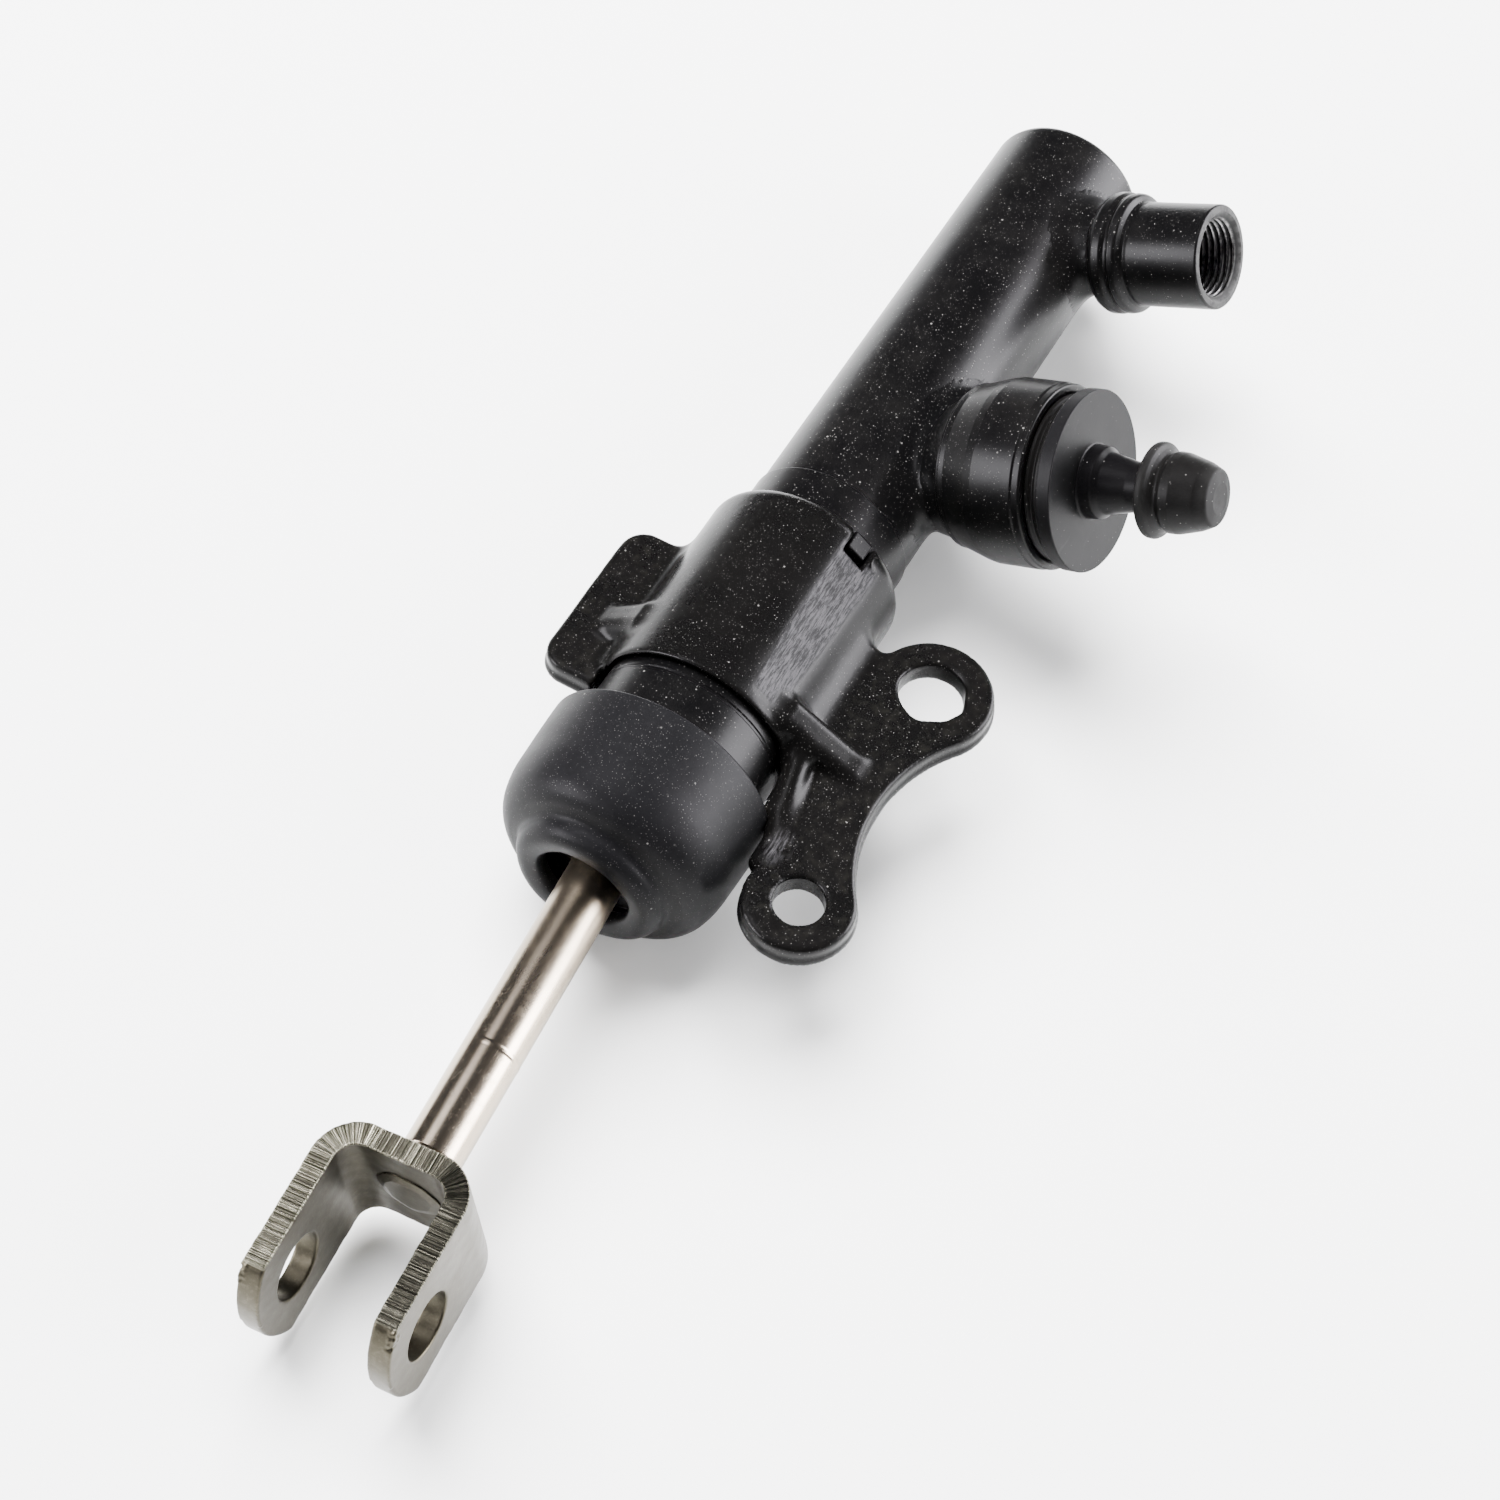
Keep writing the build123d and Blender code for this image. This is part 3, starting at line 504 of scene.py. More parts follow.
def plated_rod():
    """Nickel plating over a drawn rod: pale, a little warm, with pinholes and dark tarnish in bands."""
    n = Nodes("plated_rod")
    along = n.noise(900, 4, 0.7, n.stretched(1.0, 0.06, 1.0))
    pits = n.times(n.specks(1900, 0.20, 0.30), n.step(n.noise(150, 3), 0.45, 0.65))
    stain = n.value("stain")
    smear = n.step(n.plus(n.noise(650, 5, 0.75), n.times(along, 0.3)), 0.62, 0.88)
    base = n.mix(n.noise(60, 3), (0.36, 0.300, 0.225), (0.46, 0.390, 0.310))
    base = n.mix(n.times(smear, 0.30), base, (0.24, 0.220, 0.150))
    base = n.mix(n.times(pits, 0.8), base, (0.12, 0.10, 0.07))
    base = n.mix(n.times(stain, 0.75), base, n.mix(smear, (0.13, 0.105, 0.070), (0.30, 0.24, 0.16)))
    rough = n.plus(n.step(along, 0.3, 0.7, 0.20, 0.25), n.times(smear, 0.06))
    rough = n.plus(rough, n.times(stain, 0.15))
    normal = n.bump(along, 0.0008, n.bump(pits, 0.0025))
    return n.set(base, rough, normal, Metallic=1.0)


def plated_strap():
    """The clevis: satin plating on the rolled faces, torn cross lines on the sheared edges, and a painted sheen on
    those edges: lit on the left ear and the back, shaded on the right ear.
    """
    n = Nodes("plated_strap")
    sheared, run = n.value("sheared"), n.value("run")
    cloud = n.noise(120, 5, 0.6)
    lines = n.line_noise(run, 3.6, 6.0)
    tear = n.noise(420, 4, 0.7)
    cut = n.step(n.plus(lines, n.times(tear, 0.45)), 0.58, 0.86)
    base = n.mix(cloud, (0.040, 0.036, 0.024), (0.070, 0.063, 0.046))
    mottle = n.step(n.noise(1400, 4, 0.7), 0.45, 0.75)
    base = n.mix(n.times(mottle, 0.45), base, (0.105, 0.095, 0.070))
    base = n.mix(n.times(n.specks(900, 0.14, 0.30), 0.8), base, (0.035, 0.030, 0.022))
    # The sheared edges come as a shaded copy (band) and a lit copy with painted sheen, mixed by a painted-sheen
    # share: lit on the left ear and the back, shaded on the right ear.
    band = n.mix(cut, (0.010, 0.010, 0.008), (0.100, 0.096, 0.074))
    painted_sheen = n.mix(cut, (0.050, 0.049, 0.032), (0.30, 0.285, 0.215))
    base = n.mix(sheared, base, n.mix(n.value("painted_sheen"), band, painted_sheen))
    rough = n.blend(sheared, n.step(cloud, 0.3, 0.7, 0.34, 0.44), n.step(cut, 0, 1, 0.45, 0.26))
    normal = n.bump(n.noise(1100, 4, 0.65), 0.012, n.bump(cloud, 0.05))
    normal = n.bump(n.times(n.plus(lines, n.times(tear, 0.3)), sheared), 0.22, normal)
    return n.set(base, rough, normal, Metallic=1.0)


def turned_metal(name, low, high, rough_low, rough_high):
    """Bare turned or ground metal of the inside pieces."""
    n = Nodes(name)
    rings = n.noise(1400, 3, 0.6, n.stretched(0.05, 1.0, 0.05))
    base = n.mix(n.noise(140, 4), low, high)
    rough = n.step(rings, 0.3, 0.7, rough_low, rough_high)
    return n.set(base, rough, n.bump(rings, 0.008), Metallic=1.0)


def worn_thread():
    """Bare steel in the outlet: bright on the crests, black in the roots and where paint ran in."""
    n = Nodes("worn_thread")
    crest = n.value("crest")
    patches = n.step(n.noise(500, 4, 0.7), 0.40, 0.60)
    shine = n.times(crest, n.plus(n.times(patches, 0.75), 0.25))
    base = n.mix(shine, (0.006, 0.006, 0.006), (0.26, 0.255, 0.255))
    metal = n.step(crest, 0.2, 0.6)
    return n.set(base, n.blend(shine, 0.45, 0.28), n.bump(n.noise(1500, 3), 0.01), Metallic=metal,
                 Specular_IOR_Level=0.08)


GLOSS = gloss_paint()
CAST = casting_paint()
BOOT = boot_rubber()
SEAL = seal_rubber()
NYLON = nozzle_plastic()
ROD = plated_rod()
STRAP = plated_strap()
THREAD = worn_thread()
STEEL = turned_metal("bare_steel", (0.40, 0.39, 0.38), (0.55, 0.54, 0.53), 0.25, 0.42)
ALLOY = turned_metal("turned_alloy", (0.62, 0.62, 0.63), (0.74, 0.74, 0.75), 0.22, 0.38)


def painted(name, points, faces, place, replaces):
    """A piece of the cylinder in black enamel."""
    return make_piece(name, points, faces, place, "cylinder", GLOSS, replaces)


# ---- cylinder tube
END_ROUND = 1.7
COUNTERBORE_R = 10.2
COUNTERBORE_Y = -1.8
GROOVE_R = 10.9
GROOVE_Y = (-4.2, -3.0)


def build_tube():
    groove_low, groove_high = GROOVE_Y
    outline = [
        (0, CLOSED_END_Y - 0.25, 0), (TUBE_R - 3.4, CLOSED_END_Y, 2.0), (TUBE_R, CLOSED_END_Y, END_ROUND),
        (TUBE_R, RING_Y + 0.1, 0.08), (SEAT_R, RING_Y - 0.25, 0.12), (SEAT_R, OPEN_END_Y, 0.3),
        (COUNTERBORE_R, OPEN_END_Y, 0.15), (COUNTERBORE_R, groove_low, 0.05), (GROOVE_R, groove_low, 0.05),
        (GROOVE_R, groove_high, 0.05), (COUNTERBORE_R, groove_high, 0.05),
        (COUNTERBORE_R, COUNTERBORE_Y, 0.05), (BORE_R, COUNTERBORE_Y, 0.1), (BORE_R, BORE_END_Y, 0.3),
        (0, BORE_END_Y, 0),
    ]
    points, faces = lathe(rounded(outline), turns=192, closed=False)
    return painted("tube_body", points, faces, TUBE_FRAME, "cylinder_tube")


# ---- mount casting
CAST_STEP = 0.37
WAIST_R = 24.0
WEB_X = -7.6
WEB_TOP_Y = 40.7
TAB_X = cast_low[0]
TAB_LOW_Y = 15.2
TAB_HIGH_Y = 42.3
TAB_CORNER_R = 4.0
SHOULDER_R = 2.6
MOUTH_R = 14.1
MOUTH_TOP_Y = 22.7
WALL_FILLET = 4.2
TAB_FILLET = 2.6
UNDER_FILLET = 1.4
# Each gusset: side of the barrel, place along it, reach from the axis, height.
RIBS = ((1, 21.7, 24.6, 9.8), (-1, 26.0, 19.2, 8.8))
RIB_HALF = 2.6
FLAT_LOW_Y = 20.7
FLAT_HIGH_Y = 47.6
# Middle angle and half angle of the ground flat, in degrees, at its two ends.
FLAT_TOP = (39.5, 14.0)
FLAT_BOTTOM = (38.0, 8.0)
NOTCH_ANGLE = 36.5
NOTCH_HALF = 2.1
NOTCH_DEEP = 4.8
PART_LINE_Z = 1.35
PART_LINE_STEP = 0.28
# Ends of two soft welts along the web's edge.
RIDGE = ((WEB_X - 2.6, 19.5, 5.2), (WEB_X - 0.4, 8.5, 2.2))
LIP = ((WEB_X + 0.1, 8.5, 2.0), (WEB_X + 0.1, 3.2, 1.9))
WELT_R = 1.5

# Centre of the waist's hollow arc, which touches both ears.
to_small, to_large = WAIST_R + SMALL_EAR_R, WAIST_R + LARGE_EAR_R
waist_y = (HOLE_SPACING**2 + to_small**2 - to_large**2) / (2 * HOLE_SPACING)
waist_x = math.sqrt(to_small**2 - waist_y**2)


def flat_at(y):
    """Middle angle and distance from the axis of the ground flat, at a place along the barrel."""
    t = np.clip((y - FLAT_LOW_Y) / (FLAT_HIGH_Y - FLAT_LOW_Y), 0, 1) ** 0.5
    angle = np.radians(FLAT_BOTTOM[0] + (FLAT_TOP[0] - FLAT_BOTTOM[0]) * t)
    half = np.radians(FLAT_BOTTOM[1] + (FLAT_TOP[1] - FLAT_BOTTOM[1]) * t)
    return angle, HOUSING_R * np.cos(half)


def flat_height(x, y, z):
    """How far a point stands out of the ground flat's surface."""
    angle, distance = flat_at(y)
    return (x - TUBE_X) * np.sin(angle) + z * np.cos(angle) - distance


def plate_outline(x, y):
    """Outline of the flange plate, ears and web, as a flat field."""
    small = np.hypot(x, y) - SMALL_EAR_R
    large = np.hypot(x, y - HOLE_SPACING) - LARGE_EAR_R
    n1 = np.array((waist_y, -waist_x)) / math.hypot(waist_x, waist_y)
    n2 = np.array((HOLE_SPACING - waist_y, waist_x)) / math.hypot(waist_x, HOLE_SPACING - waist_y)
    fan = np.maximum(x * n1[0] + y * n1[1], (x - waist_x) * n2[0] + (y - waist_y) * n2[1])
    fan = np.maximum(fan, WEB_X - x)
    band = np.maximum(fan, WAIST_R - np.hypot(x - waist_x, y - waist_y))
    band = np.maximum(band, np.maximum(-y, y - HOLE_SPACING))
    web = np.maximum(np.maximum(HOUSING_END_Y - y, y - WEB_TOP_Y), x - (WEB_X + 3))
    web = np.maximum(web, TUBE_X - x)
    flare = np.maximum(np.maximum(9.8 - y, y - 30), np.maximum(WEB_X - 3.6 - x, x - WEB_X - 3))
    body = join_soft(np.minimum(np.minimum(small, large), band), web, 1.6)
    return join_soft(body, flare, 1.2)


def tab_outline(x, y):
    """Outline of the blind tab on the far side of the barrel."""
    middle_y, half_y = (TAB_LOW_Y + TAB_HIGH_Y) / 2, (TAB_HIGH_Y - TAB_LOW_Y) / 2
    qx = TAB_X + TAB_CORNER_R - x
    qy = np.abs(y - middle_y) - half_y + TAB_CORNER_R
    corner = cross_round(qx, qy, 0) - TAB_CORNER_R
    end = np.where(x > TUBE_X - MOUTH_R - 0.1, HOUSING_END_Y - y, -9.0)
    return np.maximum(np.maximum(corner, x - TUBE_X), end)


def layered(outline, z):
    """A plate with a stepped edge at the mould's parting line."""
    upper = cross_round(outline + PART_LINE_STEP, np.maximum(z - PLATE_T, 0.4 - z), 0.75)
    lower = cross_round(outline, np.maximum(-z, z - PART_LINE_Z), 0.45)
    return join_soft(upper, lower, 0.22)


def segment_distance(x, y, z, start, end):
    """Distance from a straight line between two points."""
    start, end = np.array(start, float), np.array(end, float)
    way = end - start
    dx, dy, dz = x - start[0], y - start[1], z - start[2]
    t = np.clip((dx * way[0] + dy * way[1] + dz * way[2]) / (way @ way), 0, 1)
    return np.sqrt((dx - t * way[0]) ** 2 + (dy - t * way[1]) ** 2 + (dz - t * way[2]) ** 2)


def casting_field(x, y, z):
    """The whole casting: flanges, gussets and welts joined to the barrel, then its openings cut."""
    xt = x - TUBE_X
    radius = np.hypot(xt, z)
    swell = 0.045 * ripple(x, y, z, 9.0) + 0.02 * ripple(x, y, z, 3.2)
    barrel = cross_round(radius - HOUSING_R, y - HOUSING_TOP_Y, SHOULDER_R)
    barrel = cross_round(barrel, HOUSING_END_Y - y, 0.45)
    band = np.maximum(FLAT_LOW_Y - 0.4 - y, y - FLAT_HIGH_Y - 0.3)
    barrel = cut_round(barrel, np.maximum(-flat_height(x, y, z), band * 0.35), 0.10)
    plate = layered(plate_outline(x, y), z) - swell * 0.6
    tab = layered(tab_outline(x, y), z) - swell * 0.6
    body, tabbed = (
        np.where(z > PLATE_T / 2, join_soft(barrel, flange, fillet), join_soft(barrel, flange, UNDER_FILLET))
        for flange, fillet in ((plate, WALL_FILLET), (tab, TAB_FILLET))
    )
    body = np.minimum(body, tabbed)
    for side, rib_y, reach, high in RIBS:
        out = xt * side
        drop = (high - PLATE_T) / (reach - HOUSING_R + 2)
        top = (z - high + np.maximum(out - HOUSING_R + 2, 0) * drop) / math.hypot(1, drop)
        rib = cross_round(np.abs(y - rib_y) - RIB_HALF, top, 1.7)
        rib = cross_round(rib, out - reach, 1.7)
        rib = np.maximum(rib, np.maximum(0.6 - z, -out))
        body = join_soft(body, rib, 1.7)
    for ends, low, fillet in ((RIDGE, 0.5, 1.8), (LIP, 0.4, 0.8)):
        welt = segment_distance(x, y, z, *ends) - WELT_R
        body = join_soft(body, np.maximum(welt, low - z), fillet)
    body = np.maximum(body, HOUSING_END_Y - 3.2 - y - 40 * (np.abs(xt) > MOUTH_R))
    a = math.radians(NOTCH_ANGLE)
    across = xt * math.cos(a) - z * math.sin(a)
    outward = xt * math.sin(a) + z * math.cos(a)
    notch = np.maximum(np.abs(across) - NOTCH_HALF, HOUSING_TOP_Y - NOTCH_DEEP - y)
    notch = np.maximum(notch, SEAT_R - 1 - outward)
    body = cut_round(body, notch, 0.25)
    body = cut_round(body, radius - SEAT_R - 0.02, 0.30)
    body = cut_round(body, cross_round(radius - MOUTH_R, y - MOUTH_TOP_Y, 0.3), 0.28)
    ragged = 0.16 * ripple(x, y, z, 4.0) * ease(z, 1.0, 3.4)
    for hole_y, hole_r, wild in ((0, SMALL_HOLE_R, 0.2), (HOLE_SPACING, LARGE_HOLE_R, 1.0)):
        body = cut_round(body, np.hypot(x, y - hole_y) - hole_r + ragged * wild, 0.55)
    rough = ease(4.2 - np.hypot(x + 5.2, (y + 0.6) * 0.7), 0, 1.6) * ease(z, 1.8, 3.0)
    return body + 0.10 * rough * ripple(x, y, z, 1.3)


def build_casting():
    low = np.array((TAB_X, cast_low[1], -HOUSING_R))
    high = np.array((LARGE_EAR_R, HOUSING_TOP_Y, HOUSING_R))
    points, quads = field_mesh(low - 0.4, high + 0.4, CAST_STEP, casting_field)
    piece = make_piece("mount_body", points, quads, np.eye(4), "cylinder", CAST,
                       "mount_casting")
    x, y, z = points.T
    on_flat = ease(0.16 - np.abs(flat_height(x, y, z)), 0.0, 0.10)
    lean = np.degrees(np.arctan2(x - TUBE_X, z)) - np.degrees(flat_at(y)[0])
    half = np.degrees(np.arccos(flat_at(y)[1] / HOUSING_R))
    on_flat *= ease(half + 0.4 - np.abs(lean), 0, 1.4)
    on_flat *= ease(np.hypot(x - TUBE_X, z), SEAT_R + 0.6, SEAT_R + 1.0)
    on_flat *= ease(y, FLAT_LOW_Y - 0.3, FLAT_LOW_Y + 0.8) * ease(FLAT_HIGH_Y + 0.8 - y, 0, 0.8)
    patch = ease(2.6 - np.hypot(x + 6.2, (y - 5.6) * 0.7), 0, 2.4) * ease(z, 2.6, 3.3)
    patch *= 0.75 * ease(ripple(x * 2.5, y * 0.5, z, 1.6), -0.6, 0.5)
    rough = ease(4.4 - np.hypot(x + 5.2, (y + 0.6) * 0.7), 0, 1.8) + 0.5 * ease(-0.2 - z, 0, 0.5)
    add_values(piece, "ground", np.clip(on_flat + patch, 0, 1))
    add_values(piece, "grime", ease(0.45 - np.abs(z - PLATE_T), 0, 0.4))
    add_values(piece, "rough_cast", np.clip(rough, 0, 1))
    return piece


def build_key():
    """Locating key standing in the notch, with broken corners."""
    a = math.radians(NOTCH_ANGLE)
    low_s, high_s = HOUSING_TOP_Y - 3.3, HOUSING_TOP_Y - 0.25

    def field(u, v, w):
        block = cross_round(np.abs(u) - 1.65, np.maximum(low_s - v, v - high_s), 0.3)
        block = cross_round(block, w - SEAT_R - 1.35, 0.3)
        return np.maximum(block, SEAT_R - np.hypot(u, w))

    points, quads = field_mesh((-1.8, low_s, SEAT_R - 0.6), (1.8, high_s, SEAT_R + 1.5), 0.11, field)
    place = np.eye(4)
    place[:3, 0] = (math.cos(a), 0, -math.sin(a))
    place[:3, 2] = (math.sin(a), 0, math.cos(a))
    place[:3, 3] = (TUBE_X, 0, 0)
    return painted("key_block", points, quads, place, "locating_key")


# ---- sleeve and boot
def build_sleeve():
    low, high = sleeve_low[1], sleeve_high[1]
    inner_r = SEAT_R + 0.02
    outline = [
        (inner_r, (low + high) / 2, 0), (inner_r, low, 0.1), (SLEEVE_R, low, 0.3), (SLEEVE_R, 3.9, 0.1),
        (SLEEVE_R - 0.6, 4.1, 0.1), (SLEEVE_R - 0.6, 5.9, 0.1), (SLEEVE_R, 6.1, 0.1), (SLEEVE_R, 16.4, 0.1),
        (SLEEVE_R - 0.12, 16.6, 0.05), (SLEEVE_R - 0.12, 16.9, 0.05), (SLEEVE_R, 17.1, 0.1),
        (SLEEVE_R, high, 0.3), (inner_r, high, 0.1), (inner_r, (low + high) / 2, 0),
    ]
    points, faces = lathe(rounded(outline)[:-1], turns=160)
    return painted("sleeve_ring", points, faces, TUBE_FRAME, "end_sleeve")


def build_boot():
    rim, mouth = boot_high[1], boot_low[1]
    side = [(13.75, rim - 0.9), (13.9, rim - 0.15), (14.6, rim), (BOOT_R - 0.65, rim),
            (BOOT_R - 0.3, rim - 0.2),
            (BOOT_R - 0.22, rim - 0.8), (BOOT_R - 0.26, rim - 4.0), (BOOT_R - 0.4, rim - 8.5),
            (BOOT_R - 0.55, rim - 11.6), (BOOT_R - 1.2, rim - 14.4), (BOOT_R - 2.3, rim - 16.2),
            (BOOT_R - 3.5, rim - 17.1), (BOOT_R - 4.6, rim - 17.45), (BOOT_R - 5.4, rim - 17.75),
            (BOOT_R - 5.85, rim - 18.4), (BOOT_R - 6.1, rim - 19.3), (BOOT_R - 6.75, rim - 20.2),
            (BOOT_R - 7.7, mouth + 0.03), (BOOT_R - 8.8, mouth + 0.02), (BOOT_R - 9.8, mouth + 0.25),
            (6.75, mouth + 0.7), (6.62, mouth + 1.3), (6.75, mouth + 2.3), (7.6, mouth + 2.8)]
    inside = [(9.0, mouth + 2.7, 0), (13.9, -5.5, 0.4), (13.9, -4.9, 0.2), (SLEEVE_R + 0.02, -4.7, 0.1),
              (SLEEVE_R + 0.02, rim - 1.4, 0)]

    def soft(r, s, a):
        low_end = ease(rim - s, 10, 20)
        r = r + 0.10 * np.sin(3 * a + 0.6) * low_end * (r > 7) + 0.05 * np.sin(7 * a + s * 0.3) * low_end
        return r, s + 0.10 * np.sin(2 * a + 1.0) * low_end

    points, faces = lathe([*flowing(side, 5), *rounded(inside, 3)], turns=176, shape=soft)
    return make_piece("boot_shell", points, faces, TUBE_FRAME, "cylinder", BOOT, "dust_boot")


# ---- ports
FILLET_STEP = 0.24


def fillet_mesh(place, port, low, high, radius):
    """The fillet between the tube and a port's neck, where the softened union stands proud of both."""

    def field(u, v, w):
        x = place[0, 3] + u * place[0, 0] + v * place[0, 1] + w * place[0, 2]
        z = place[2, 3] + u * place[2, 0] + v * place[2, 1] + w * place[2, 2]
        tube = np.hypot(x - TUBE_X, z) - TUBE_R
        neck = port(u, v, w)
        both = np.minimum(tube, neck)
        joined = join_soft(tube, neck, radius) - 0.004
        return np.maximum(np.maximum(joined, -both - 0.3), 0.006 - (both - joined))

    return field_mesh(low, high, FILLET_STEP, field)


OUTLET_MOUTH = 33.4
THREAD_R = mounts["outlet_port"]["dims"]["r_mm"]
THREAD_PITCH = 1.0
THREAD_DEEP = 0.52
THREAD_END = 20.4
OUTLET_FOOT = TUBE_R - 3.2


def outlet_neck(u, v, _w):
    """Field of the outlet's neck, a little longer along the tube than across it."""
    return np.sqrt((u / 1.12) ** 2 + v**2) - 5.95


def build_outlet():
    outer = [
        (5.9, 11.0, 0), (5.9, 14.6, 0.6), (6.6, 15.3, 0.5), (8.4, 15.6, 0.7), (9.0, 16.6, 0.9),
        (9.0, 17.9, 0.6),
        (8.6, 18.5, 0.25), (8.62, 18.9, 0.2), (8.9, 19.3, 0.4), (8.75, 20.3, 0.6), (7.8, 20.8, 0.3),
        (7.55, 21.2, 0.3), (7.66, 21.8, 0.4), (7.65, OUTLET_MOUTH - 0.1, 0.35),
        (6.60, OUTLET_MOUTH, 0.2), (THREAD_R + 0.35, OUTLET_MOUTH - 0.60, 0.15),
    ]
    rows = int((OUTLET_MOUTH - 0.9 - THREAD_END) / THREAD_PITCH * 8)
    wall = [(THREAD_R, s, 0) for s in np.linspace(OUTLET_MOUTH - 0.9, THREAD_END, rows)]
    floor = [(THREAD_R - 0.2, 19.4, 0.1), (1.6, 17.6, 0.1), (1.6, 14.0, 0)]

    def thread(r, s, a):
        turn = (s / THREAD_PITCH + a / (2 * np.pi)) % 1.0
        tooth = np.abs(turn - 0.5) * 2
        inside = (np.abs(r - THREAD_R) < 1e-6) & (s > THREAD_END - 0.01)
        fade = ease(s, THREAD_END, THREAD_END + 1.2) * ease(OUTLET_MOUTH - 0.7 - s, 0, 0.5)
        return np.where(inside, r + THREAD_DEEP * ease(tooth, 0.12, 0.88) * fade, r), s

    turned = [tuple(p) for p in rounded(outer + wall + floor, 4)]
    turned = [(turned[0][0], OUTLET_FOOT), *turned, (turned[-1][0], OUTLET_FOOT)]
    points, faces = lathe(turned, turns=160, shape=thread)
    piece = painted("outlet_fitting", points, faces, OUTLET_FRAME, "outlet_boss")
    mesh = piece.data
    mesh.materials.append(THREAD)
    r, s = np.hypot(points[:, 0], points[:, 1]), points[:, 2]
    inner = (r < 7.35) & (s > 18.0) & ((r < 6.2) | (s > OUTLET_MOUTH - 0.9))
    centres = np.array([np.mean(inner[list(f)]) for f in faces])
    mesh.polygons.foreach_set("material_index", (centres > 0.9).astype(np.int32))
    lip = ease(s, OUTLET_MOUTH - 0.5, OUTLET_MOUTH - 0.1) * 0.14
    add_values(piece, "crest", np.clip(np.maximum(1 - (r - THREAD_R) / (THREAD_DEEP * 0.75), lip), 0, 1))
    points, quads = fillet_mesh(OUTLET_FRAME, outlet_neck, (-11, -9.5, 6.5), (11, 9.5, 15.4), 3.4)
    painted("outlet_fillet", points, quads, OUTLET_FRAME, "outlet_boss")


CUP_R = 13.2
CUP_MOUTH = 29.9


def inlet_neck(u, v, w):
    """Field of the inlet's oval neck: long along the tube, narrow across it, spreading to the round foot."""
    t = np.clip((w - 9.0) / 6.8, 0, 1)
    wide = 6.9 + 4.35 * t**1.5
    long = 10.9 + 0.35 * t
    scaled = np.sqrt((u / long) ** 2 + (v / wide) ** 2)
    neck = (scaled - 1) * wide / np.maximum(1.0, 1 + 0.35 * (wide < long))
    return np.maximum(neck, w - 15.9)


def build_inlet():
    outer = [
        (10.9, 15.4, 0), (11.3, 15.55, 0.1), (11.35, 16.0, 0.1), (11.75, 16.15, 0.12), (11.8, 17.0, 0.3),
        (CUP_R - 0.25, 20.9, 0.9), (CUP_R, 22.2, 0.9), (CUP_R, 28.4, 0.3), (CUP_R - 0.14, 28.7, 0.2),
        (CUP_R - 0.14, CUP_MOUTH, 0.35), (CUP_R - 1.1, CUP_MOUTH, 0.3), (11.25, CUP_MOUTH - 0.4, 0.1),
        (11.2, 18.0, 0.1), (5.5, 18.0, 0.1), (5.5, 15.4, 0),
    ]
    points, faces = lathe(rounded(outer, 4), turns=160)
    painted("inlet_cup", points, faces, INLET_FRAME, "inlet_boss")

    def neck_field(u, v, w):
        x = INLET_FRAME[0, 3] + v * INLET_FRAME[0, 1] + w * INLET_FRAME[0, 2]
        z = INLET_FRAME[2, 3] + v * INLET_FRAME[2, 1] + w * INLET_FRAME[2, 2]
        neck = inlet_neck(u, v, w)
        chip = np.sqrt((u + 10.2) ** 2 + (v - 6.6) ** 2 + (w - 14.2) ** 2) - 0.9
        neck = np.maximum(neck, -chip) - 0.05 * ripple(u, v, w, 4.0)
        body = np.maximum(neck, 4.5 - np.hypot(u, v))
        return np.maximum(body, TUBE_R - 0.5 - np.hypot(x - TUBE_X, z))

    points, quads = field_mesh((-11.6, -11.6, 6.0), (11.6, 11.6, 16.2), 0.22, neck_field)
    painted("inlet_neck", points, quads, INLET_FRAME, "inlet_boss")
    points, quads = fillet_mesh(INLET_FRAME, inlet_neck, (-14, -11, 6.0), (14, 11, 15.6), 2.2)
    painted("inlet_fillet", points, quads, INLET_FRAME, "inlet_boss")


DISC_LOW = 32.3
DISC_HIGH = 34.4
DISC_R = 12.8
SPIGOT_R = 6.0
NOZZLE_END = 49.6


def build_grommet():
    inner_r = SPIGOT_R + 0.02
    outline = [
        (inner_r, 25.0, 0), (inner_r, DISC_LOW - 0.03, 0.1), (11.6, DISC_LOW - 0.03, 0.3),
        (11.7, 31.4, 0.3), (11.1, 30.9, 0.3), (11.6, 30.4, 0.3), (11.7, CUP_MOUTH + 0.04, 0.1),
        (11.15, CUP_MOUTH + 0.04, 0.1), (11.15, 18.1, 0.3), (inner_r, 18.1, 0.3), (inner_r, 24.9, 0),
    ]
    points, faces = lathe(rounded(outline, 4), turns=128)
    piece = make_piece("grommet_ring", points, faces, INLET_FRAME, "cylinder", SEAL,
                       "inlet_grommet")
    add_values(piece, "rubbed", np.zeros(len(points)))
    return piece


def build_nozzle():
    outline = [
        (1.7, 18.0, 0), (SPIGOT_R, 18.0, 0.4), (SPIGOT_R, DISC_LOW, 0.1), (DISC_R - 0.05, DISC_LOW, 0.18),
        (DISC_R, DISC_HIGH, 0.16), (5.2, DISC_HIGH + 0.02, 0.35), (5.05, DISC_HIGH + 2.0, 0.45),
        (4.35, DISC_HIGH + 2.7, 0.5), (3.55, DISC_HIGH + 6.5, 2.0), (3.35, DISC_HIGH + 9.0, 0.6),
        (3.35, DISC_HIGH + 11.6, 0.3), (3.55, DISC_HIGH + 12.4, 0.3), (3.1, NOZZLE_END, 0.3),
        (1.7, NOZZLE_END, 0.2), (1.7, 18.2, 0),
    ]
    points, faces = lathe(rounded(outline, 5), turns=160)
    piece = make_piece("nozzle_disc", points, faces, INLET_FRAME, "cylinder", NYLON,
                       "inlet_nozzle")
    r, s = np.hypot(points[:, 0], points[:, 1]), points[:, 2]
    add_values(piece, "face", ease(r, 5.6, 6.2) * ease(DISC_HIGH + 0.3 - s, 0, 0.2))


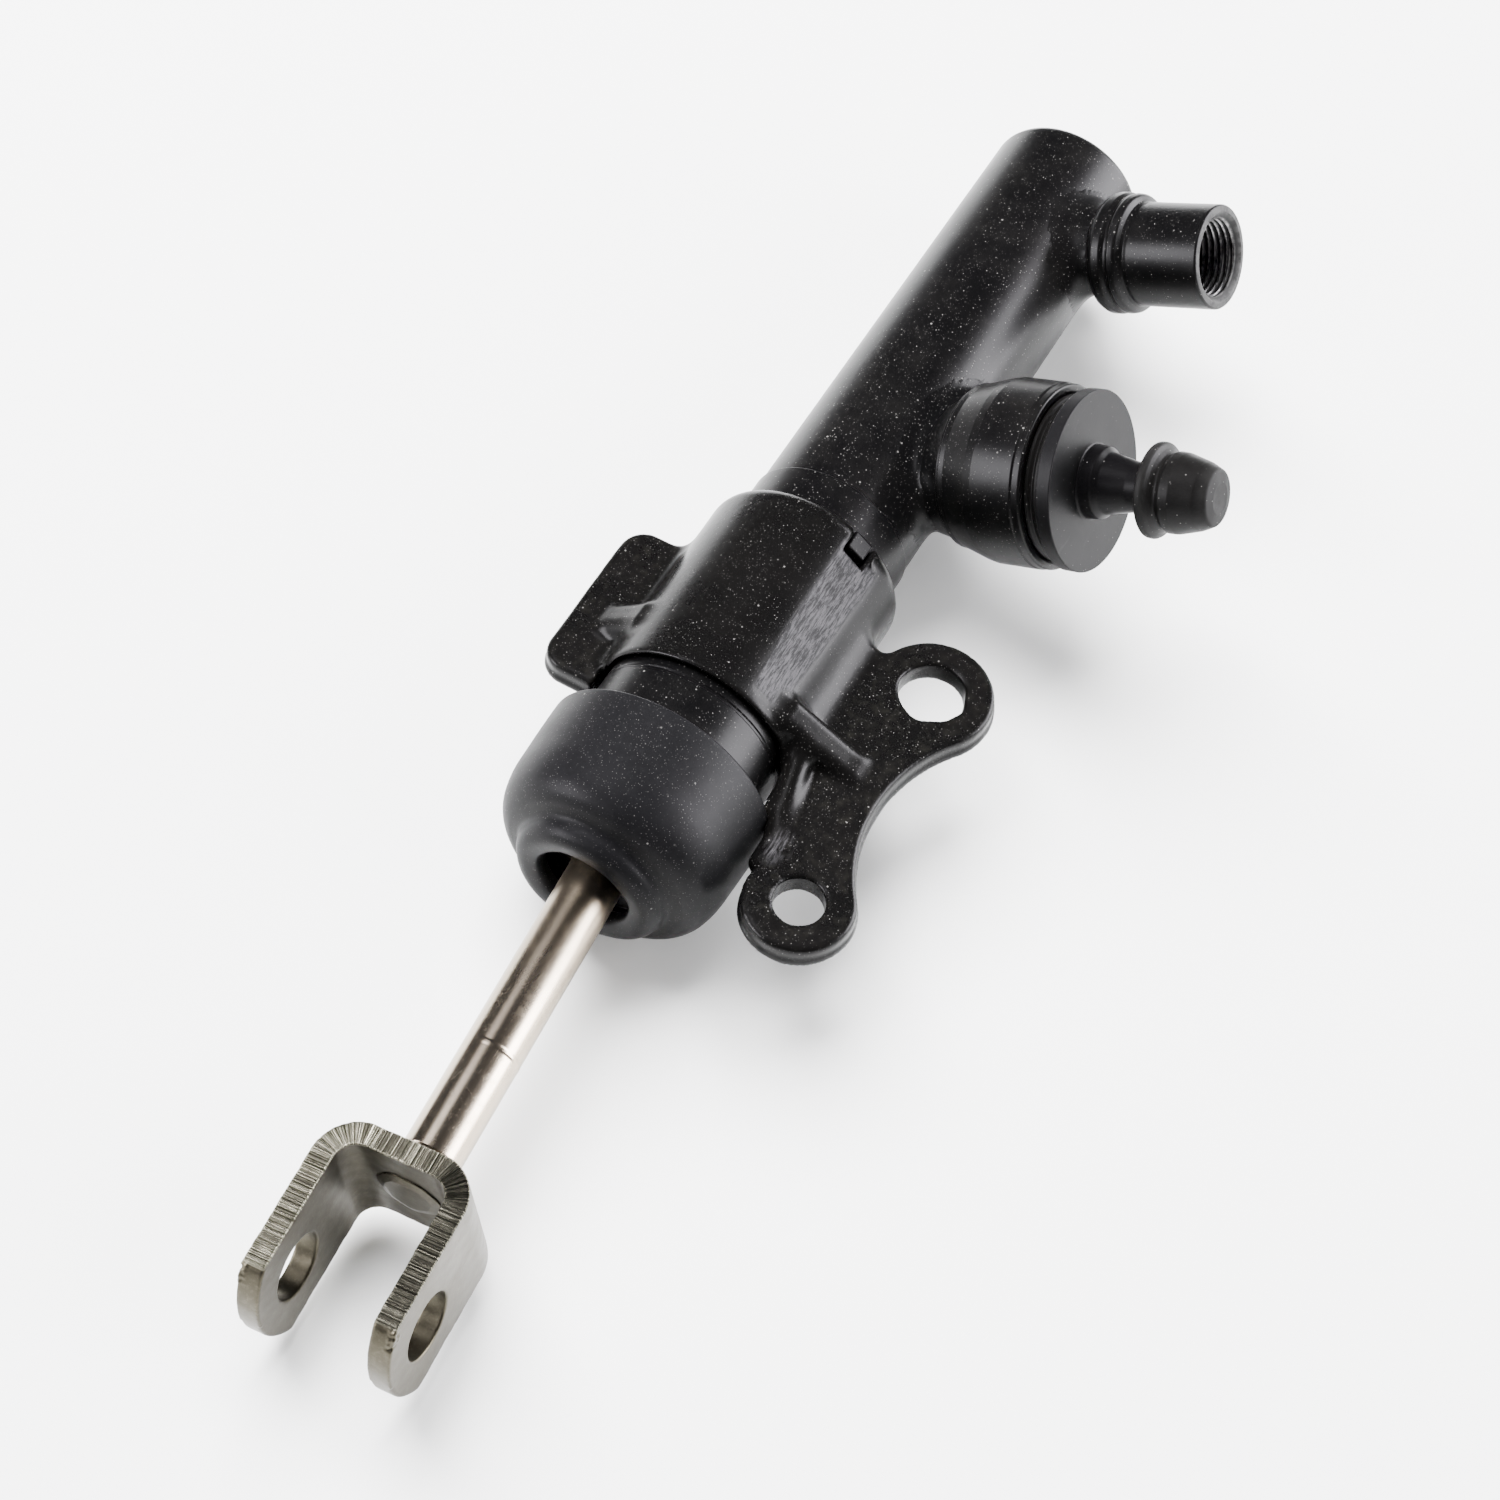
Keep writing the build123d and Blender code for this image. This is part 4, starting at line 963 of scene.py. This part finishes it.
def build_nibs():
    """Two torn moulding nibs on the disc's edge."""
    made = []
    for number, (angle, size) in enumerate(((-92.0, 0.62), (-116.0, 0.5))):
        a = math.radians(angle)

        def field(u, v, w):
            lump = np.sqrt((u / 1.5) ** 2 + v**2 + (w / 0.8) ** 2) - size
            return lump + 0.14 * np.sin(u * 9 + number) * np.sin(w * 8)

        points, quads = field_mesh((-1.3, -0.9, -0.8), (1.3, 0.9, 0.8), 0.09, field)
        local = np.eye(4)
        local[:3, 0] = (-math.sin(a), math.cos(a), 0)
        local[:3, 1] = (math.cos(a), math.sin(a), 0)
        local[:3, 3] = (math.cos(a) * DISC_R, math.sin(a) * DISC_R, DISC_LOW + 0.7)
        made.append(make_piece(f"mould_nib_{number}", points, quads, INLET_FRAME @ local, "cylinder",
                               NYLON))
        add_values(made[-1], "face", np.full(len(points), 0.7))
    return made


CAP_LOW = 43.4
CAP_HIGH = 53.7


def build_cap():
    outline = [
        (3.62, CAP_LOW + 1.0, 0), (3.7, CAP_LOW, 0.2), (5.3, CAP_LOW + 0.05, 0.3),
        (6.65, CAP_LOW + 0.55, 0.5),
        (6.7, CAP_LOW + 1.6, 0.6), (5.9, CAP_LOW + 2.1, 0.3), (5.1, CAP_LOW + 2.8, 0.5),
        (5.66, CAP_LOW + 3.7, 0.5), (5.6, CAP_LOW + 5.0, 1.2), (4.75, CAP_HIGH - 2.1, 1.4),
        (3.9, CAP_HIGH - 0.3, 0.6),
        (2.2, CAP_HIGH, 0.6), (0, CAP_HIGH - 0.12, 0),
    ]
    outer = rounded(outline, 5)
    inner = [(0, 50.5), (3.5, 50.4), (3.62, 49.8), (3.62, CAP_LOW + 1.4)]

    def soft(r, s, a):
        return r * (1 + 0.008 * np.sin(2 * a + 0.4) * ease(s, CAP_LOW, CAP_HIGH)), s

    points, faces = lathe(outer + inner, closed=False, turns=128, shape=soft)
    piece = make_piece("cap_cover", points, faces, INLET_FRAME, "nozzle_cap", SEAL,
                       "nozzle_cap")
    r, s = np.hypot(points[:, 0], points[:, 1]), points[:, 2]
    rubbed = ease(s, CAP_HIGH - 1.6, CAP_HIGH - 0.3) * 0.8 + 0.5 * ease(r, 6.35, 6.65) + 0.15
    add_values(piece, "rubbed", np.clip(rubbed, 0, 1))
    return piece


# ---- inside pieces
def build_spring():
    """Return spring, wound open from end to end."""
    low, high = span("return_spring")
    wire, coil = 0.9, 7.0
    turns, around = 9, 12
    t = np.linspace(0, 1, turns * 40)
    rise = low[1] + wire + (high[1] - low[1] - 2 * wire) * t
    angle = 2 * np.pi * turns * t
    ring = np.linspace(0, 2 * np.pi, around, endpoint=False)
    points = []
    for y, a in zip(rise, angle):
        for b in ring:
            r = coil + wire * math.cos(b)
            points.append((TUBE_X + r * math.cos(a), y + wire * math.sin(b), r * math.sin(a)))
    faces = []
    for i in range(len(t) - 1):
        for k in range(around):
            m = (k + 1) % around
            faces.append((i * around + k, i * around + m, (i + 1) * around + m, (i + 1) * around + k))
    faces.append(tuple(range(around))[::-1])
    faces.append(tuple((len(t) - 1) * around + k for k in range(around)))
    piece = make_piece("spring_coil", points, faces, np.eye(4), "cylinder", STEEL,
                       "return_spring")
    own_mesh(piece)
    return piece


def finish_cad_nodes():
    """The inside pieces keep their CAD shape and get their own metal or rubber."""
    for node, material in (
        ("piston", ALLOY), ("secondary_cup", SEAL), ("cup_washer", STEEL), ("primary_cup", SEAL),
        ("spring_retainer", STEEL), ("stop_washer", STEEL), ("circlip", STEEL),
    ):
        shown = frame["nodes"][node]
        shown.data.materials.clear()
        shown.data.materials.append(material)


# ---- pushrod and clevis
ROD_R = 4.0
BALL_R = 7.5
STRAP_T = 3.1
CLEVIS_HALF_WIDTH = 9.5
BEND_R = 6.0
EAR_SIDE = 22.0
EAR_REACH = 26.1
CLEVIS_STEP = 0.185


def build_rod():
    neck = math.sqrt(BALL_R**2 - ROD_R**2)
    ball_turns = np.linspace(0, math.pi - math.asin(ROD_R / BALL_R), 28)
    ball = [(BALL_R * math.sin(t), -BALL_R * math.cos(t)) for t in ball_turns]
    end = ROD_LENGTH
    top = end + STRAP_T
    shaft = [
        (ROD_R + 0.01, neck + 0.4, 0), (ROD_R, neck + 3, 0.5), (ROD_R, end - 18.2, 0.05),
        (ROD_R + 0.06, end - 17.9, 0.05), (ROD_R + 0.06, end - 17.6, 0.05), (ROD_R, end - 17.3, 0.05),
        (ROD_R, end - 2.2, 0.2), (ROD_R - 0.22, end - 1.8, 0.15), (ROD_R - 0.22, end - 1.3, 0.15),
        (ROD_R + 0.05, end - 0.9, 0.15), (ROD_R + 0.05, end, 0.1), (3.4, end + 0.02, 0.05),
        (3.4, top - 0.02, 0.05), (4.55, top + 0.02, 0.1), (4.4, top + 0.22, 0.1), (3.2, top + 0.50, 0.5),
        (0, top + 0.60, 0),
    ]

    def hammered(r, s, a):
        head = s > top
        mark = (s > end - 18.3) & (s < end - 17.2)
        side = ease(np.cos(a - 0.4), -0.2, 0.5)
        r = np.where(mark, ROD_R + (r - ROD_R) * side, r)
        return np.where(head, r * (1 + 0.035 * np.sin(3 * a + 0.5) + 0.02 * np.sin(7 * a)), r), s

    profile = ball + [tuple(p) for p in rounded(shaft)]
    points, faces = lathe(profile, turns=128, closed=False, shape=hammered)
    piece = make_piece("rod_shaft", points, faces, ROD_FRAME, "pushrod", ROD, "pushrod")
    s = points[:, 2]
    piece.data.materials.append(STRAP)
    on_head = [int(min(s[v] for v in f) > top - 0.1) for f in faces]
    piece.data.polygons.foreach_set("material_index", on_head)
    for name in ("sheared", "run", "painted_sheen"):
        add_values(piece, name, np.zeros(len(points)))
    collar = ease(s, end - 2.6, end - 1.4) * ease(end - 0.8 - s, 0, 0.4)
    add_values(piece, "stain", 0.85 * ease(19.0 - s, 0, 6.0) + 0.5 * collar)
    return piece


def strap_run(a, b):
    """Length along the bent strap from the middle of its back, in mm."""
    flat = CLEVIS_OUTER / 2 - BEND_R
    bend_top = ROD_LENGTH + BEND_R
    turn = np.arctan2(np.maximum(np.abs(a) - flat, 1e-6), np.maximum(bend_top - b, 1e-6))
    ear = flat + BEND_R * math.pi / 2 + (b - bend_top)
    back = np.where(np.abs(a) > flat, flat + BEND_R * turn, np.abs(a))
    return np.sign(a) * np.where(b > bend_top, ear, back)


def clevis_field(a, c, b):
    """The bent strap. a runs along the pin, c across the strap's width and b along the rod from its ball."""
    half = CLEVIS_OUTER / 2
    qa = np.abs(a) - half + BEND_R
    qb = ROD_LENGTH + BEND_R - b
    outer = cross_round(qa, qb, 0) - BEND_R
    strap = np.abs(outer + STRAP_T / 2) - STRAP_T / 2
    run = strap_run(a, b)
    comb = 0.0
    for pace, amount in ((2.3, 0.035), (5.1, 0.030), (8.7, 0.022), (0.9, 0.05)):
        comb = comb + amount * np.sin(run * pace + rng.uniform(0, PHASES) + 0.5 * np.sin(run * pace * 0.37))
    side = CLEVIS_HALF_WIDTH - 0.08 + comb * ease(np.abs(c), 5, 8)
    rise = EAR_REACH - EAR_SIDE
    arch_r = (CLEVIS_HALF_WIDTH**2 + rise**2) / (2 * rise)
    arch = np.hypot(c, np.maximum(b - (ROD_LENGTH + EAR_REACH - arch_r), 0)) - arch_r
    outline = cross_round(np.abs(c) - side, arch, 0.5)
    rolled = np.where(c > 0, 0.22, 0.55)
    body = cross_round(strap, outline, rolled)
    hole = np.hypot(c, b - ROD_LENGTH - PIN_REACH) - PIN_R
    body = cut_round(body, hole, 0.22)
    tenon = np.hypot(a, c) - 3.42
    body = cut_round(body, np.maximum(tenon, b - ROD_LENGTH - STRAP_T - 1), 0.05)
    torn = np.maximum(np.abs(c - CLEVIS_HALF_WIDTH + 1.2) - 1.4, ROD_LENGTH + EAR_SIDE - 0.3 - b)
    torn = np.maximum(torn, half - 1.0 - np.abs(a))
    return body + 0.012 * ripple(a, c, b, 3.0) + 0.10 * ease(-torn, 0, 0.3) * ripple(a, c, b, 0.9)


def build_clevis():
    half = CLEVIS_OUTER / 2
    low = (-half - 0.2, -CLEVIS_HALF_WIDTH - 0.2, ROD_LENGTH - 0.2)
    high = (half + 0.2, CLEVIS_HALF_WIDTH + 0.2, ROD_LENGTH + EAR_REACH + 0.2)
    points, quads = field_mesh(low, high, CLEVIS_STEP, clevis_field)
    piece = make_piece("clevis_yoke", points, quads, ROD_FRAME, "pushrod", STRAP, "clevis")
    a, c, b = points.T
    rise = EAR_REACH - EAR_SIDE
    sheared = ease(np.abs(c), CLEVIS_HALF_WIDTH - 0.45, CLEVIS_HALF_WIDTH - 0.2)
    sheared *= ease(ROD_LENGTH + EAR_SIDE + rise * 0.08 - b, 0, 0.5)
    add_values(piece, "sheared", sheared)
    add_values(piece, "run", strap_run(a, b))
    # Share of painted sheen on the sheared edges: most on the left ear and the back, least on the right ear.
    add_values(piece, "painted_sheen", 0.15 + 0.85 * ease(-a, -8.0, 1.0))
    return piece


# ---- floor, light and camera
LENS = 71.28
CAMERA_AT = Vector((0.07176, -0.18369, 0.33323))
CAMERA_TURN = Euler((math.radians(33.50), math.radians(-3.37), math.radians(28.85)), "XYZ")


def build_camera():
    data = bpy.data.cameras.new("camera")
    data.sensor_width = 36.0
    data.lens = LENS
    data.clip_start = 0.01
    data.clip_end = 20.0
    camera = bpy.data.objects.new("camera", data)
    camera.location = CAMERA_AT
    camera.rotation_euler = CAMERA_TURN
    bpy.context.scene.collection.objects.link(camera)
    bpy.context.scene.camera = camera


def build_floor():
    n = Nodes("floor_paper")
    base = n.mix(n.noise(3.0, 3), (0.86, 0.86, 0.87), (0.90, 0.90, 0.905))
    material = n.set(base, 0.75, Specular_IOR_Level=0.2)
    reach = 3.0
    level = cad_box[0].z - 0.0004
    mesh = bpy.data.meshes.new("floor")
    corners = [(-reach, -reach, level), (reach, -reach, level), (reach, reach, level), (-reach, reach, level)]
    mesh.from_pydata(corners, [], [(0, 1, 2, 3)])
    mesh.materials.append(material)
    floor = bpy.data.objects.new("floor", mesh)
    bpy.context.scene.collection.objects.link(floor)


# Each panel: name, offset from the part's middle in metres, width, height, watts, and how it is seen.
PANELS = (
    ("key_box", (0.736, 0.618, 0.30), 1.05, 0.62, 76.0, "reflection"),
    ("front_box", (-0.71, -0.60, 0.38), 0.50, 0.46, 27.0, "reflection"),
    ("high_panel", (-0.46, -0.02, 0.90), 0.45, 0.40, 3.6, "reflection"),
    ("top_fill", (-0.45, 0.35, 1.05), 1.1, 1.1, 150.0, "light"),
    ("right_fill", (0.80, 0.10, 0.45), 0.6, 0.6, 14.0, "light"),
)


def area_light(name, offset, width, height, watts, seen_in):
    """A soft panel aimed at the part. seen_in says whether it shows as a reflection or as plain light."""
    middle = (cad_box[0] + cad_box[1]) / 2
    data = bpy.data.lights.new(name, "AREA")
    data.shape = "RECTANGLE"
    data.size, data.size_y = width, height
    data.energy = watts
    data.color = (0.97, 0.955, 1.0) if seen_in == "reflection" else (1.0, 1.0, 1.0)
    light = bpy.data.objects.new(name, data)
    light.location = middle + Vector(offset)
    light.rotation_euler = (-Vector(offset)).to_track_quat("-Z", "Y").to_euler()
    light.visible_glossy = seen_in != "light"
    light.visible_diffuse = seen_in != "reflection"
    bpy.context.scene.collection.objects.link(light)


def build_light():
    world = bpy.data.worlds.new("studio")
    world.use_nodes = True
    sky = world.node_tree.nodes["Background"].inputs
    sky["Color"].default_value = (0.93, 0.94, 1.0, 1)
    sky["Strength"].default_value = 0.06
    bpy.context.scene.world = world
    for panel in PANELS:
        area_light(*panel)


# ---- assembly
build_tube()
build_casting()
build_key()
build_sleeve()
build_boot()
build_outlet()
build_inlet()
build_grommet()
build_nozzle()
build_nibs()
build_cap()
build_spring()
build_rod()
build_clevis()
finish_cad_nodes()
build_camera()
build_floor()
build_light()
